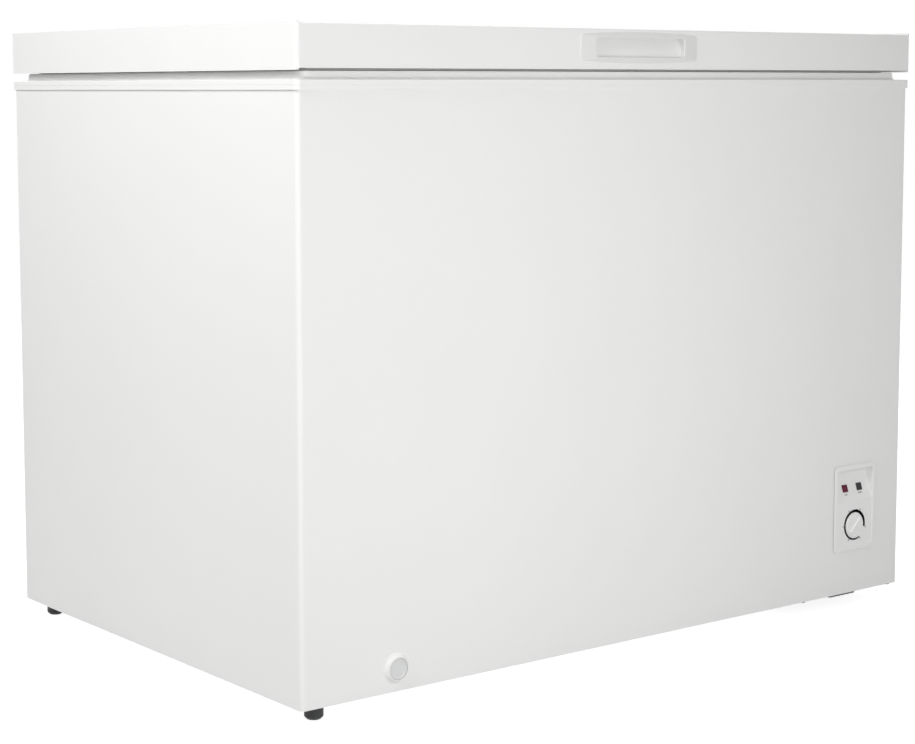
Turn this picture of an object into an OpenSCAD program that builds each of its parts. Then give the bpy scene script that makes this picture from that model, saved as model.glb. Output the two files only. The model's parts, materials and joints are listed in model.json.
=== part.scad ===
// Chest freezer with a hinged lid, tub, cooling circuit and wire basket.
// Front faces -Y, right-hand side faces +X, floor is z = 0.

/* [Cabinet] */
// Width of the painted cabinet
body_w = 1060; // [980:1:1120]
// Depth of the painted cabinet
body_d = 704; // [660:1:740]
// Height of the painted cabinet from its lower edge to the trim
body_h = 725; // [680:1:780]
// Height of the cabinet's lower edge above the floor
base_z = 24; // [20:0.5:30]
// Outer radius of the cabinet's upright corners
body_r = 6; // [3:0.5:10]
// Thickness of the sheet steel
skin_t = 0.8; // [0.6:0.1:1.2]
// Insulated wall from the painted face to the tub's inner face
wall_t = 71; // [64:1:80]
// Height of the hidden skirt below the bottom sheet
skirt_h = 12; // [9:0.5:16]
// Width of the turned-in lower flange of the shell
flange_w = 12; // [8:1:16]

/* [Top frame] */
// Overhang of the trim and lid past the painted cabinet
lid_over = 2.5; // [2:0.5:5]
// Height of the trim band
trim_h = 12; // [9:0.5:16]
// Height from the trim band to the lid's lower edge
collar_h = 13; // [11:0.5:18]
// Step in from the trim band to the collar
collar_in = 14; // [10:0.5:18]
// Gap between the collar's top and the lid's lower edge
collar_gap = 3; // [2:0.5:4]
// Width of the seal landing
landing_w = 38; // [34:1:44]
// Depth of the basket ledge below the landing
ledge_drop = 21; // [16:1:26]
// Wall of the plastic mouldings
moulding_t = 2.5; // [2:0.1:3]

/* [Lid] */
// Height of the lid's painted front
lid_h = 51; // [45:1:60]
// Width of each end cap
cap_t = 6; // [4:0.5:10]
// How far each end cap stands past the lid's faces, above and below
cap_proud = 2.3; // [1:0.1:3]
// Radius along the lid's top edges
lid_edge_r = 3; // [2:0.5:4]
// Depth of the inner panel's raised middle below the lid's lower edge
plug_drop = 10; // [6:1:12]

/* [Lid grip] */
// Width of the grip's bezel
grip_w = 204; // [180:1:230]
// Height of the grip's bezel at its middle
grip_h = 40; // [34:1:42]
// How far the bezel's upper and lower edges bow out
grip_bow = 3.4; // [2:0.2:5]
// How far the grip stands out of the lid's front round its recess
grip_proud = 4; // [3:0.5:6]
// How far the bezel's outer edge stands out of the lid's front
grip_edge = 1.4; // [1:0.2:2.6]
// Width of the finger recess
recess_w = 153; // [130:1:170]
// Height of the finger recess at its mouth
recess_h = 23; // [20:1:26]
// Depth of the finger recess
recess_d = 22; // [18:1:28]

/* [Tub] */
// Radius of the tub's upright corners
tub_r = 30; // [20:1:40]
// Foam under the tub's floor
floor_foam = 60; // [50:1:75]
// Thickness of the tub's sheet
tub_t = 0.8; // [0.6:0.1:1.2]

/* [Compressor bay] */
// Width of the compressor bay
bay_w = 214; // [204:1:240]
// Height of the compressor bay above the bottom sheet
bay_h = 243; // [236:1:260]
// Foam between the bay and the tub
bay_foam = 50; // [42:1:60]
// Radius of the compressor's pot
pot_r = 72; // [64:1:76]
// Height of the compressor's pot
pot_h = 168; // [150:1:178]
// Distance from the cabinet's back to the compressor's middle
pot_back = 200; // [170:1:300]

/* [Control panel] */
// Width of the control panel
panel_w = 88; // [80:1:100]
// Height of the control panel
panel_h = 125; // [118:1:140]
// Panel's middle to the cabinet's right-hand side
panel_side = 97; // [80:1:110]
// Panel's middle above the cabinet's lower edge
panel_up = 124; // [110:1:140]
// Width of the frame round the panel's recess
panel_rim = 7; // [5:0.5:9]
// Depth of the slope at the recess's upper edge
panel_slope_d = 13; // [10:1:20]
// Radius of the knob
knob_r = 17.5; // [14:0.5:20]

/* [Drain] */
// Drain's middle to the cabinet's left-hand side
drain_side = 139; // [110:1:180]
// Drain's middle above the cabinet's lower edge
drain_up = 29; // [27:0.5:40]
// Radius of the drain outlet's flared base
drain_r = 19; // [16:0.5:22]
// Radius of the drain cap's face
drain_cap_r = 13.2; // [11:0.2:15]
// Inner radius of the drain pipe
drain_bore_r = 8; // [6:0.5:9]

/* [Feet] */
// Radius of each levelling foot
foot_r = 11.8; // [10:0.2:15]
// Front feet's middle to the cabinet's side
foot_side_front = 43; // [36:1:60]
// Rear feet's middle to the cabinet's side
foot_side_rear = 35; // [34:1:60]
// Front left foot's middle to the cabinet's front
foot_front = 37; // [30:1:60]
// Rear feet's middle to the cabinet's back
foot_back = 24; // [22:1:60]
// Right front foot's middle to the cabinet's front
foot_front_right = 88; // [70:1:110]
// Height adjustment of each foot
foot_travel = 8; // [4:1:8]

/* [Basket] */
// Basket's size along the freezer
basket_w = 230; // [180:1:300]
// Basket's depth
basket_h = 205; // [150:1:210]
// Radius of the basket's rim wire
rim_wire_r = 2.5; // [2:0.1:3]
// Radius of the basket's thin wires
mesh_wire_r = 1.4; // [1.2:0.1:2]

/* [Hinges] */
// Hinge's middle to the cabinet's side
hinge_side = 205; // [150:1:300]
// Distance from the cabinet's back face to the hinge's rearmost point
hinge_proud = 22.5; // [22:0.5:24]
// Radius of the hinge pin
pin_r = 4; // [3:0.5:4]
// Radius of the hinge barrel
barrel_r = 7; // [6.5:0.5:7]
// Width of the hinge's spring housing
housing_w = 56; // [50:1:64]

/* [Hidden] */
$fn = 48;
eps = 0.01;
seat_gap = 0.3;      // clearance between pieces that move apart
fit_gap = 0.1;       // clearance round screws and pressed-in pieces
run_gap = 0.05;      // radial running clearance of pins and shafts

white = [0.93, 0.93, 0.93];
off_white = [0.9, 0.9, 0.89];
zinc = [0.66, 0.67, 0.68];
black = [0.08, 0.08, 0.09];
copper = [0.78, 0.45, 0.3];
foam_cream = [0.93, 0.87, 0.7];

// plan of the cabinet: trim and lid share one outline
out_w = body_w + 2 * lid_over;
out_d = body_d + 2 * lid_over;
out_front = -(out_d + grip_proud + hinge_proud - lid_over) / 2 + grip_proud;
out_back = out_front + out_d;
right_x = body_w / 2;
left_x = -right_x;
front_y = out_front + lid_over;
back_y = out_back - lid_over;

// insets measured from the common outline
in_skin = lid_over + skin_t;
in_landing = collar_in + landing_w;
in_tub = lid_over + wall_t;
in_tub_out = in_tub - tub_t;
wall_r = 20;         // corners of the mouth's upright wall

// levels
trim_z = base_z + body_h;
collar_z = trim_z + trim_h;
lid_z = collar_z + collar_h;
landing_z = lid_z - collar_gap;
ledge_z = landing_z - ledge_drop;
lid_top_z = lid_z + lid_h;
plug_z = lid_z - plug_drop;
pan_z = base_z + skirt_h;
pan_top = pan_z + skin_t;
shell_top = trim_z + 8;
flange_top = ledge_z - moulding_t;
foam_top = flange_top - tub_t;
tub_floor = pan_top + floor_foam + tub_t;
bay_top = pan_top + bay_h;
bay_x = right_x - skin_t - bay_w;
step_x = bay_x - skin_t - bay_foam - tub_t;
step_z = bay_top + skin_t + bay_foam + tub_t;

// lid
skin_x = out_w / 2 - cap_t;
seal_out = collar_in + 10;
seal_w = 16;
seal_in = seal_out - 4;
seal_top = lid_z + 7;
panel_t = 1.5;
plug_in = in_landing + 4.5;

// control panel
panel_x = right_x - panel_side;
panel_z = base_z + panel_up;
panel_proud = 2;
panel_depth = 22;
face_back = front_y + 1;            // flat lower face of the panel
slope_top = panel_z + panel_h / 2 - panel_rim;
slope_low = slope_top - 41;
knob_z = panel_z - panel_h / 2 + 37;
lamp_z = panel_z + panel_h / 2 - 34.5;
lamp_gap = 30;
lamp_s = 11;
slope_a = atan(panel_slope_d / (slope_top - slope_low));
knob_face = 2.4;
knob_ridge = 2;
knob_back = face_back - 2.2 - seat_gap;
stem_r = 3;
stem_l = 18;

// drain
drain_x = left_x + drain_side;
drain_z = base_z + drain_up;
inlet_y = front_y + wall_t + 60;
drain_proud = 5.5;
pipe_t = 2;
stopper_r = 15;
gland_out_r = 12;

// levelling feet
foot_places = [[left_x + foot_side_front, front_y + foot_front],
    [right_x - foot_side_front, front_y + foot_front_right],
    [left_x + foot_side_rear, back_y - foot_back], [right_x - foot_side_rear, back_y - foot_back]];
nut_h = 6.5;
foot_h = pan_z - nut_h - 3;
stud_r = 4;
stud_h = nut_h + foot_travel + 9;

// compressor and its mounting
plate_t = 1.6;
deck_z = pan_z;
pot_x = bay_x + bay_w / 2;
pot_y = back_y - pot_back;
grommet_h = 16;
pot_z = deck_z + plate_t + grommet_h;
bolt_dx = 52;
bolt_dy = 88;
screw_places = [bay_x + 22, right_x - skin_t - 11];

// cooling circuit
evap_r = 4;
evap_n = 7;
evap_pitch = 46;
evap_z = step_z + 30;
cond_r = 2.5;
cond_n = 5;
cond_pitch = 62;
cond_z = step_z + 44;
cap_r = 1.5;
bulb_r = 4;

// side and rear vents
grille_y = pot_y;
grille_w = 260;
grille_h = 150;
grille_z = base_z + 138;
vent_w = 182;
vent_h = 196;
vent_x = right_x - skin_t - 14 - vent_w / 2;
vent_z = pan_z + 16 + vent_h / 2;
gland_x = vent_x - vent_w / 2 + 30;
gland_z = vent_z - vent_h / 2 + 26;
cord_r = 3.7;

// hinges
hinge_x = right_x - hinge_side;
pivot_y = back_y + hinge_proud - 2 - barrel_r - 2;
pivot_z = lid_z - 6;
ear_t = 3;
ear_in = 22;
leaf_w = 38;
leaf_t = 2.4;
housing_z = trim_z - 150;
housing_top = trim_z - 5;
house_y = back_y;
house_back = back_y + hinge_proud;
spring_r = 7;
spring_wire_r = 1.2;
rod_r = 2.5;
spring_y = (house_y + house_back) / 2;

// basket
basket_x = right_x - wall_t - 14 - basket_w / 2;
rim_y0 = out_front + in_landing + 9;
rim_y1 = out_back - in_landing - 9;
rim_z = ledge_z + seat_gap + rim_wire_r;
basket_y0 = front_y + wall_t + 12;
basket_y1 = back_y - wall_t - 12;

// ---- shared shapes ----

module rounded(x0, x1, y0, y1, r) {
    translate([x0, y0 + r]) square([x1 - x0, y1 - y0 - 2 * r]);
    translate([x0 + r, y0]) square([x1 - x0 - 2 * r, y1 - y0]);
    for (x = [x0 + r, x1 - r], y = [y0 + r, y1 - r]) translate([x, y]) circle(r, $fn = 32);
}

module block(x0, x1, y0, y1, z0, z1) {
    translate([x0, y0, z0]) cube([x1 - x0, y1 - y0, z1 - z0]);
}

// plate that follows the common outline, set in by an inset
module slab(z0, z1, inset, r) {
    translate([0, 0, z0]) linear_extrude(z1 - z0)
        rounded(inset - out_w / 2, out_w / 2 - inset, out_front + inset, out_back - inset, r);
}

module ring(z0, z1, inset0, inset1, r0, r1) {
    difference() {
        slab(z0, z1, inset0, r0);
        slab(z0 - 1, z1 + 1, inset1, r1);
    }
}

// a 2D shape drawn as x and z, made thick along y from y0 to y1
module along_y(y0, y1) {
    translate([0, y1, 0]) rotate([90, 0, 0]) linear_extrude(y1 - y0) children();
}

// a 2D shape drawn as y and z, made thick along x from x0 to x1
module along_x(x0, x1) {
    translate([x0, 0, 0]) rotate([90, 0, 90]) linear_extrude(x1 - x0) children();
}

// pan-head screw with its shank pointing along -z
module screw(r, l) {
    cylinder(h = 2.2, r = 1.9 * r, $fn = 24);
    translate([0, 0, -l]) cylinder(h = l + eps, r = r, $fn = 24);
}

// ---- tubes swept along points ----

function unit(v) = v / norm(v);
function heading(p, i) = i == 0 ? unit(p[1] - p[0])
    : i == len(p) - 1 ? unit(p[i] - p[i - 1])
    : unit(unit(p[i] - p[i - 1]) + unit(p[i + 1] - p[i]));
function square_to(n, t) = unit(n - (n * t) * t);
function carried(p, n, i = 0, done = []) = i == len(p) ? done
    : let (side = square_to(n, heading(p, i))) carried(p, side, i + 1, concat(done, [side]));
function arc(c, u, v, r, a0, a1, steps) =
    [for (i = [0 : steps]) let (a = a0 + (a1 - a0) * i / steps) c + r * (cos(a) * u + sin(a) * v)];

module tube(p, r, sides = 8) {
    start = abs(heading(p, 0)[2]) > 0.9 ? [1, 0, 0] : [0, 0, 1];
    n = carried(p, start);
    points = [for (i = [0 : len(p) - 1]) let (b = cross(heading(p, i), n[i]))
        for (k = [0 : sides - 1]) p[i] + r * (cos(360 * k / sides) * n[i] + sin(360 * k / sides) * b)];
    last = (len(p) - 1) * sides;
    walls = [for (i = [0 : len(p) - 2], k = [0 : sides - 1]) let (q = (k + 1) % sides)
        each [[i * sides + k, (i + 1) * sides + k, (i + 1) * sides + q],
            [i * sides + k, (i + 1) * sides + q, i * sides + q]]];
    caps = [[for (k = [0 : sides - 1]) k], [for (k = [sides - 1 : -1 : 0]) last + k]];
    polyhedron(points, concat(walls, caps), convexity = 10);
}

// one pass round the cabinet at an inset, from one side of the turns at the rear to the other
function pass(c, inset, r, z, gap) =
    let (x = out_w / 2 - inset, y0 = out_front + inset, y1 = out_back - inset, u = [1, 0, 0], v = [0, 1, 0])
    concat([[c + gap, y1, z]],
        arc([x - r, y1 - r, z], u, v, r, 90, 0, 4), arc([x - r, y0 + r, z], u, v, r, 0, -90, 4),
        arc([r - x, y0 + r, z], u, v, r, -90, -180, 4), arc([r - x, y1 - r, z], u, v, r, 180, 90, 4),
        [[c - gap, y1, z]]);
function backwards(p) = [for (i = [len(p) - 1 : -1 : 0]) p[i]];
function hairpin(c, inset, z, pitch, side, gap) =
    arc([c + side * gap, out_back - inset, z + pitch / 2], [-side, 0, 0], [0, 0, 1], pitch / 2, -60, 60, 4);
function serpentine(c, inset, r, z, pitch, n, gap) = [for (k = [0 : n - 1])
    let (p = pass(c, inset, r, z + k * pitch, gap), odd = k % 2 == 1)
    each concat(odd ? backwards(p) : p,
        k < n - 1 ? hairpin(c, inset, z + k * pitch, pitch, odd ? 1 : -1, gap) : [])];
evap_gap = evap_pitch / 2 + 12;
cond_gap = cond_pitch / 2 + 12;
evap_in = in_tub_out - evap_r - seat_gap;
cond_in = in_skin + cond_r + seat_gap;
evap_x = pot_x - 80;
cond_x = pot_x + 8;
evap_end = evap_z + (evap_n - 1) * evap_pitch;
cond_end = cond_z + (cond_n - 1) * cond_pitch;
evap_y = out_back - evap_in;
cond_y = out_back - cond_in;

// runs in the rear foam between the bay's ceiling and the serpentines
rise_y = evap_y + 20;
feed_y = cond_y - 18;
drop_x = cond_x - 14;
cap_x = bay_x + 12;
evap_rise = [[evap_x, rise_y, bay_top - 8], [evap_x, rise_y, evap_z - 26],
    [evap_x + 4, rise_y - 3, evap_z - 12], [evap_x + 16, evap_y + 6, evap_z - 2],
    [evap_x + evap_gap, evap_y, evap_z]];
cond_rise = [[cond_x, feed_y, bay_top - 8], [cond_x, feed_y, cond_z - 26],
    [cond_x + 6, feed_y + 6, cond_z - 12], [cond_x + 20, cond_y - 3, cond_z - 2],
    [cond_x + cond_gap, cond_y, cond_z]];
cond_drop = [[cond_x - cond_gap, cond_y, cond_end], [drop_x - 12, cond_y - 2, cond_end - 1],
    [drop_x - 2, cond_y - 10, cond_end - 10], [drop_x, feed_y, cond_end - 26],
    [drop_x, feed_y, bay_top - 12]];
cap_rise = [[cap_x, feed_y, bay_top - 12], [cap_x, feed_y, evap_end - 30],
    [cap_x - 1, rise_y, evap_end - 10], [cap_x - 4, evap_y + 5, evap_end - 1],
    [evap_x - evap_gap, evap_y, evap_end]];

// grooves that the foam leaves round a serpentine
module grooves(c, r, z, pitch, n, gap, in0, in1) {
    w = r + seat_gap;
    for (k = [0 : n - 1]) ring(z + k * pitch - w, z + k * pitch + w, in0, in1, body_r, tub_r);
    block(c - gap - w, c + gap + w, out_back - in1, out_back - in0, z - w, z + (n - 1) * pitch + w);
}

// ---- cabinet ----

module panel_hole(gap) {
    along_y(front_y - 5, front_y + 5)
        rounded(panel_x - panel_w / 2 + 3 - gap, panel_x + panel_w / 2 - 3 + gap,
            panel_z - panel_h / 2 + 3 - gap, panel_z + panel_h / 2 - 3 + gap, 4);
}

module grille_hole() {
    block(right_x - 5, right_x + 5, grille_y - grille_w / 2, grille_y + grille_w / 2,
        grille_z - grille_h / 2, grille_z + grille_h / 2);
}

module outer_shell() {
    color(white) difference() {
        union() {
            ring(base_z, shell_top, lid_over, in_skin, body_r, body_r - skin_t);
            ring(base_z, base_z + skin_t, lid_over, lid_over + flange_w, body_r, 1);
        }
        block(left_x + flange_w, right_x - flange_w, back_y - flange_w - 1, back_y + 1,
            base_z - 1, shell_top + 1);
        panel_hole(0);
        grille_hole();
        translate([drain_x, front_y, drain_z]) rotate([90, 0, 0])
            cylinder(h = 20, r = drain_bore_r + pipe_t + fit_gap, center = true);
        for (x = screw_places) translate([x, front_y + 9, base_z - 1]) cylinder(h = 4, r = 2 + fit_gap);
        for (y = [-1, 1], z = [-1, 1])
            translate([right_x, grille_y + y * (grille_w / 2 + 6), grille_z + z * (grille_h / 2 - 20)])
                rotate([0, 90, 0]) cylinder(h = 10, r = 1.6 + fit_gap, center = true);
    }
}

module hinge_screw_places(z0, z1, dx) {
    for (s = [-1, 1], x = [-dx, dx], z = [z0, z1]) translate([s * hinge_x + x, 0, z]) children();
}

module back_panel() {
    color(zinc) difference() {
        block(left_x + flange_w, right_x - flange_w, back_y - skin_t, back_y, base_z, shell_top);
        block(vent_x - vent_w / 2, vent_x + vent_w / 2, back_y - 5, back_y + 5,
            vent_z - vent_h / 2, vent_z + vent_h / 2);
        hinge_screw_places(housing_z + 15, housing_top - 20, housing_w / 2 + 7)
            translate([0, back_y, 0]) rotate([90, 0, 0]) cylinder(h = 10, r = 2 + fit_gap, center = true);
        for (x = [-1, 1], z = [-1, 1])
            translate([vent_x + x * (vent_w / 2 - 14), back_y, vent_z + z * (vent_h / 2 + 6)])
                rotate([90, 0, 0]) cylinder(h = 10, r = 1.6 + fit_gap, center = true);
    }
}

module bottom_panel() {
    y0 = front_y + skin_t;
    y1 = back_y - skin_t;
    x0 = left_x + skin_t;
    x1 = right_x - skin_t;
    color(zinc) difference() {
        intersection() {
            union() {
                block(x0, bay_x, y0, y1, pan_z, pan_top);
                block(bay_x - skin_t, bay_x, y0, y1, pan_z, bay_top + skin_t);
                block(bay_x - skin_t, x1, y0, y1, bay_top, bay_top + skin_t);
            }
            slab(pan_z - 1, bay_top + 2, in_skin, body_r - skin_t);
        }
        for (p = foot_places) translate([p[0], p[1], pan_z - 1]) cylinder(h = 4, r = stud_r + 0.5);
        bay_ports(fit_gap);
    }
}

// places where tubes leave the bay through its ceiling
bulb_x = panel_x - 40;
bulb_y = front_y + 50;
ports = [[evap_x, rise_y, evap_r], [cond_x, feed_y, cond_r], [drop_x, feed_y, cond_r],
    [cap_x, feed_y, cap_r], [bulb_x, bulb_y, cap_r]];

module bay_ports(gap) {
    for (p = ports) translate([p[0], p[1], bay_top - 1]) cylinder(h = 4, r = p[2] + gap);
}

// solid filled by the tub, drawn with its outer faces set out by a thickness
module tub_form(t, top) {
    intersection() {
        slab(tub_floor - t, top, in_tub - t, tub_r + t);
        along_y(front_y, back_y) polygon([
            [left_x, tub_floor - t], [step_x + t, tub_floor - t], [step_x + t, step_z - t],
            [right_x, step_z - t], [right_x, top], [left_x, top]]);
    }
}

module foam_insulation() {
    color(foam_cream) difference() {
        union() {
            slab(pan_top, foam_top, in_skin, body_r - skin_t);
            ring(foam_top - 1, collar_z - moulding_t, in_skin, in_landing - moulding_t,
                body_r - skin_t, wall_r);
            ring(foam_top - 1, landing_z - moulding_t, collar_in + moulding_t, in_landing - moulding_t,
                10, wall_r);
        }
        tub_form(tub_t, foam_top + 5);
        block(bay_x - skin_t, right_x + 1, front_y - 1, back_y + 1, pan_z, bay_top + skin_t);
        grooves(evap_x, evap_r, evap_z, evap_pitch, evap_n, evap_gap,
            in_tub_out - 2 * (evap_r + seat_gap), in_tub_out + 1);
        grooves(cond_x, cond_r, cond_z, cond_pitch, cond_n, cond_gap,
            in_skin - 1, in_skin + 2 * (cond_r + seat_gap));
        drain_run(drain_bore_r + pipe_t + fit_gap);
        for (p = foot_places) translate([p[0], p[1], pan_top - 1]) cylinder(h = stud_h + 4, r = 9);
        tube_wells();
        hinge_screw_places(housing_z + 15, housing_top - 20, housing_w / 2 + 7)
            translate([0, back_y, 0]) rotate([90, 0, 0]) cylinder(h = 40, r = 2 + fit_gap, center = true);
    }
}

// hollows in the foam where tubes rise from the bay
module tube_wells() {
    tube(evap_rise, evap_r + 1, 6);
    tube(cond_rise, cond_r + 1, 6);
    tube(cond_drop, cond_r + 1, 6);
    tube(cap_rise, cap_r + 1, 6);
    translate([bulb_x, bulb_y, bay_top]) cylinder(h = evap_z + 60 - bay_top, r = bulb_r + 1);
}

module inner_liner() {
    color(off_white) difference() {
        union() {
            tub_form(tub_t, flange_top);
            ring(foam_top, flange_top, in_landing - moulding_t, in_tub, tub_r, tub_r);
        }
        tub_form(0, flange_top + 5);
        translate([drain_x, inlet_y, tub_floor])
            cylinder(h = 10, r = drain_bore_r + pipe_t + fit_gap, center = true);
    }
}

module top_frame() {
    color(white) difference() {
        union() {
            ring(trim_z, collar_z, 0, lid_over - fit_gap, body_r + 1, body_r);
            ring(collar_z - moulding_t, collar_z, 0, collar_in + moulding_t, body_r + 1, 10);
            ring(collar_z - moulding_t, landing_z, collar_in, collar_in + moulding_t, 12, 10);
            ring(collar_z - eps, collar_z + 2, collar_in - 1.6, collar_in + 1, 13, 11);
            ring(landing_z - moulding_t, landing_z, collar_in, in_landing, 12, 18);
            ring(flange_top, landing_z, in_landing - moulding_t, in_landing, wall_r, 18);
            ring(flange_top, ledge_z, in_landing - moulding_t, in_tub, wall_r, tub_r);
        }
        ring(landing_z - 1.5, landing_z + 1, collar_in - 1, collar_in + 1.2, 13, 11);
        ring(trim_z + 5.1, trim_z + 5.9, -1, 0.5, body_r + 1, body_r);
    }
}

// ---- cooling circuit ----

module evaporator_tube() {
    run = serpentine(evap_x, evap_in, tub_r + 4, evap_z, evap_pitch, evap_n, evap_gap);
    color(zinc) tube(concat([for (i = [0 : 3]) evap_rise[i]], run), evap_r, 6);
}

// condenser against the inside of the painted shell, run on down to the drier
module condenser_tube() {
    run = serpentine(cond_x, cond_in, 26, cond_z, cond_pitch, cond_n, cond_gap);
    color(zinc) tube(concat([for (i = [0 : 3]) cond_rise[i]], run, [for (i = [1 : 4]) cond_drop[i]],
        [[drop_x - 6, feed_y - 2, bay_top - 32], [drier[0] + 12, drier[1] + 8, drier[2] + 132],
         [drier[0], drier[1], drier[2] + 122], drier + [0, 0, 108]]), cond_r, 6);
}

module pot_profile(r, h, e) {
    translate([0, 0]) square([r - e, h]);
    translate([0, e]) square([r, h - 2 * e]);
    intersection() {
        square([r, h]);
        union() {
            translate([r - e, e]) circle(e);
            translate([r - e, h - e]) circle(e);
        }
    }
}

module compressor() {
    wall = 8;   // thicker than the real shell, to carry the motor's mass
    color(black) translate([pot_x, pot_y, pot_z]) {
        difference() {
            union() {
                translate([0, 0, 2]) rotate_extrude() pot_profile(pot_r, pot_h, 26);
                translate([0, 0, 66]) cylinder(h = 5, r = pot_r + 4);
                translate([0, 0, 0]) difference() {
                    block(-bolt_dx - 12, bolt_dx + 12, -bolt_dy - 14, bolt_dy + 14, 0, 3);
                    for (x = [-1, 1], y = [-1, 1])
                        translate([x * bolt_dx, y * bolt_dy, -1]) cylinder(h = 6, r = 6 + fit_gap);
                }
                translate([0, 0, 2]) cylinder(h = 10, r = 40);
                // stubs that the tubes are brazed into
                translate([-30, 60, 120]) rotate([-90, 0, 0]) cylinder(h = 24, r = 5);
                translate([30, 60, 120]) rotate([-90, 0, 0]) cylinder(h = 24, r = 4.4);
                translate([0, 60, 100]) rotate([-90, 0, 0]) cylinder(h = 30, r = 3);
            }
            translate([0, 0, 2 + wall]) rotate_extrude() pot_profile(pot_r - wall, pot_h - 2 * wall, 22);
        }
    }
}

module bolt_places() {
    for (x = [-1, 1], y = [-1, 1])
        translate([pot_x + x * bolt_dx, pot_y + y * bolt_dy, deck_z + plate_t]) children();
}

// each grommet carries a corner of the compressor and grips it with a neck
module compressor_grommets() {
    color(black) bolt_places() difference() {
        union() {
            cylinder(h = grommet_h, r = 11);
            cylinder(h = grommet_h + 4, r = 6);
            translate([0, 0, grommet_h + 3]) cylinder(h = 3, r = 9);
        }
        translate([0, 0, -1]) cylinder(h = grommet_h + 10, r = 3 + fit_gap);
    }
}

module compressor_bolts() {
    color(zinc) bolt_places() {
        translate([0, 0, -plate_t - 4]) cylinder(h = plate_t + grommet_h + 14, r = 3);
        translate([0, 0, grommet_h + 6]) cylinder(h = 1.2, r = 8);
        translate([0, 0, grommet_h + 7.2]) cylinder(h = 5, r = 5.8, $fn = 6);
        translate([0, 0, -plate_t - 4]) cylinder(h = 4, r = 5.8, $fn = 6);
    }
}

// deck of the bay, stepped down to a flange under the shell's front edge
module compressor_base_plate() {
    x0 = bay_x + 2;
    x1 = right_x - skin_t - 2;
    y1 = back_y - skin_t - 3;
    rise_y = front_y + 30;
    rise_x = right_x - flange_w - 1;
    low = base_z - plate_t;
    color(black) difference() {
        union() {
            block(x0, x1, rise_y, y1, deck_z, deck_z + plate_t);
            block(x0, rise_x, rise_y, rise_y + plate_t, low, deck_z + plate_t);
            block(x0, x1, front_y + 5, rise_y + plate_t, low, base_z);
            block(x0, x0 + plate_t, rise_y, y1, deck_z - 8, deck_z + 1);
            block(x1 - plate_t, x1, rise_y, y1, deck_z - 8, deck_z + 1);
            block(pot_x - 31, pot_x + 21, front_y + 6, front_y + 16, low - 2.6, low + eps);
        }
        for (x = screw_places) translate([x, front_y + 9, low - 1]) cylinder(h = 5, r = 2 + fit_gap);
        bolt_places() cylinder(h = 10, r = 3 + fit_gap, center = true);
        for (p = foot_places) translate([p[0], p[1], deck_z - 1]) cylinder(h = 5, r = stud_r + 0.5);
    }
}

module base_plate_screws() {
    color(black) for (x = screw_places)
        translate([x, front_y + 9, base_z - plate_t]) rotate([180, 0, 0]) screw(2, 8);
}

module terminal_cover() {
    x = pot_x + 12;
    y = pot_y - pot_r - 28;
    color(black) difference() {
        block(x - 34, x + 30, y, pot_y - pot_r + 16, pot_z + 28, pot_z + 62);
        block(x - 32, x + 28, y + 2, pot_y, pot_z + 30, pot_z + 60);
        translate([pot_x, pot_y, pot_z]) cylinder(h = 80, r = pot_r + fit_gap);
    }
}

// tube from a stub on the compressor, out to the rear and up to the bay's ceiling
module riser(dx, x, y, r) {
    s = [pot_x + dx, pot_y + 84, pot_z + 120];
    color(copper) tube(concat([s, s + [0, 6, 0]],
        arc(s + [0, 6, 14], [0, 0, -1], [0, 1, 0], 14, 20, 80, 3),
        [s + [0, 20, 26], [x, y, bay_top - 36], [x, y, bay_top - 8]]), r, 8);
}

module suction_tube() {
    riser(-30, evap_x, rise_y, evap_r);
}

module discharge_tube() {
    riser(30, cond_x, feed_y, cond_r);
}

// copper drier held upright beside the bay's inner wall
drier = [bay_x + 18, back_y - 60, pan_top + 60];
module filter_drier() {
    color(copper) translate(drier) rotate_extrude() polygon([[0, -18], [2, -18], [2, -12],
        [9.5, 0], [9.5, 90], [3.4, 102], [3.4, 108], [0, 108]]);
}

module capillary_tube() {
    d = drier + [0, 0, -18];
    color(copper) tube(concat([d, d + [0, 0, -8], d + [2, -8, -16], d + [6, -18, -12], d + [8, -22, 0],
        d + [8, -22, 150], [cap_x, feed_y - 6, bay_top - 28]], cap_rise), cap_r, 6);
}

// ---- bay covers ----

module side_grille() {
    t = 1.8;
    y0 = grille_y - grille_w / 2;
    z0 = grille_z - grille_h / 2;
    slot = 7;
    n = 8;
    pitch = grille_h / n;
    color(white) difference() {
        union() {
            block(right_x, right_x + t, y0 - 12, y0 + grille_w + 12, z0 - 6, z0 + grille_h + 6);
            block(right_x - 8, right_x, y0 + fit_gap, y0 + grille_w - fit_gap,
                z0 + fit_gap, z0 + grille_h - fit_gap);
        }
        block(right_x - 9, right_x - 0.2, y0 + 2, y0 + grille_w - 2, z0 + 2, z0 + grille_h - 2);
        for (k = [0 : n - 1], s = [0, 1])
            block(right_x - 10, right_x + 5,
                y0 + 8 + s * (grille_w / 2), y0 + grille_w / 2 - 8 + s * (grille_w / 2),
                z0 + (k + 0.5) * pitch - slot / 2, z0 + (k + 0.5) * pitch + slot / 2);
        for (y = [-1, 1], z = [-1, 1])
            translate([right_x, grille_y + y * (grille_w / 2 + 6), grille_z + z * (grille_h / 2 - 20)])
                rotate([0, 90, 0]) cylinder(h = 10, r = 1.6 + fit_gap, center = true);
    }
}

module grille_screws() {
    color(zinc) for (y = [-1, 1], z = [-1, 1])
        translate([right_x + 1.8, grille_y + y * (grille_w / 2 + 6), grille_z + z * (grille_h / 2 - 20)])
            rotate([0, 90, 0]) {
                translate([0, 0, -9]) cylinder(h = 9, r = 1.6, $fn = 24);
                cylinder(h = 0.6, r = 3.4, $fn = 24);
            }
}

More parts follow.
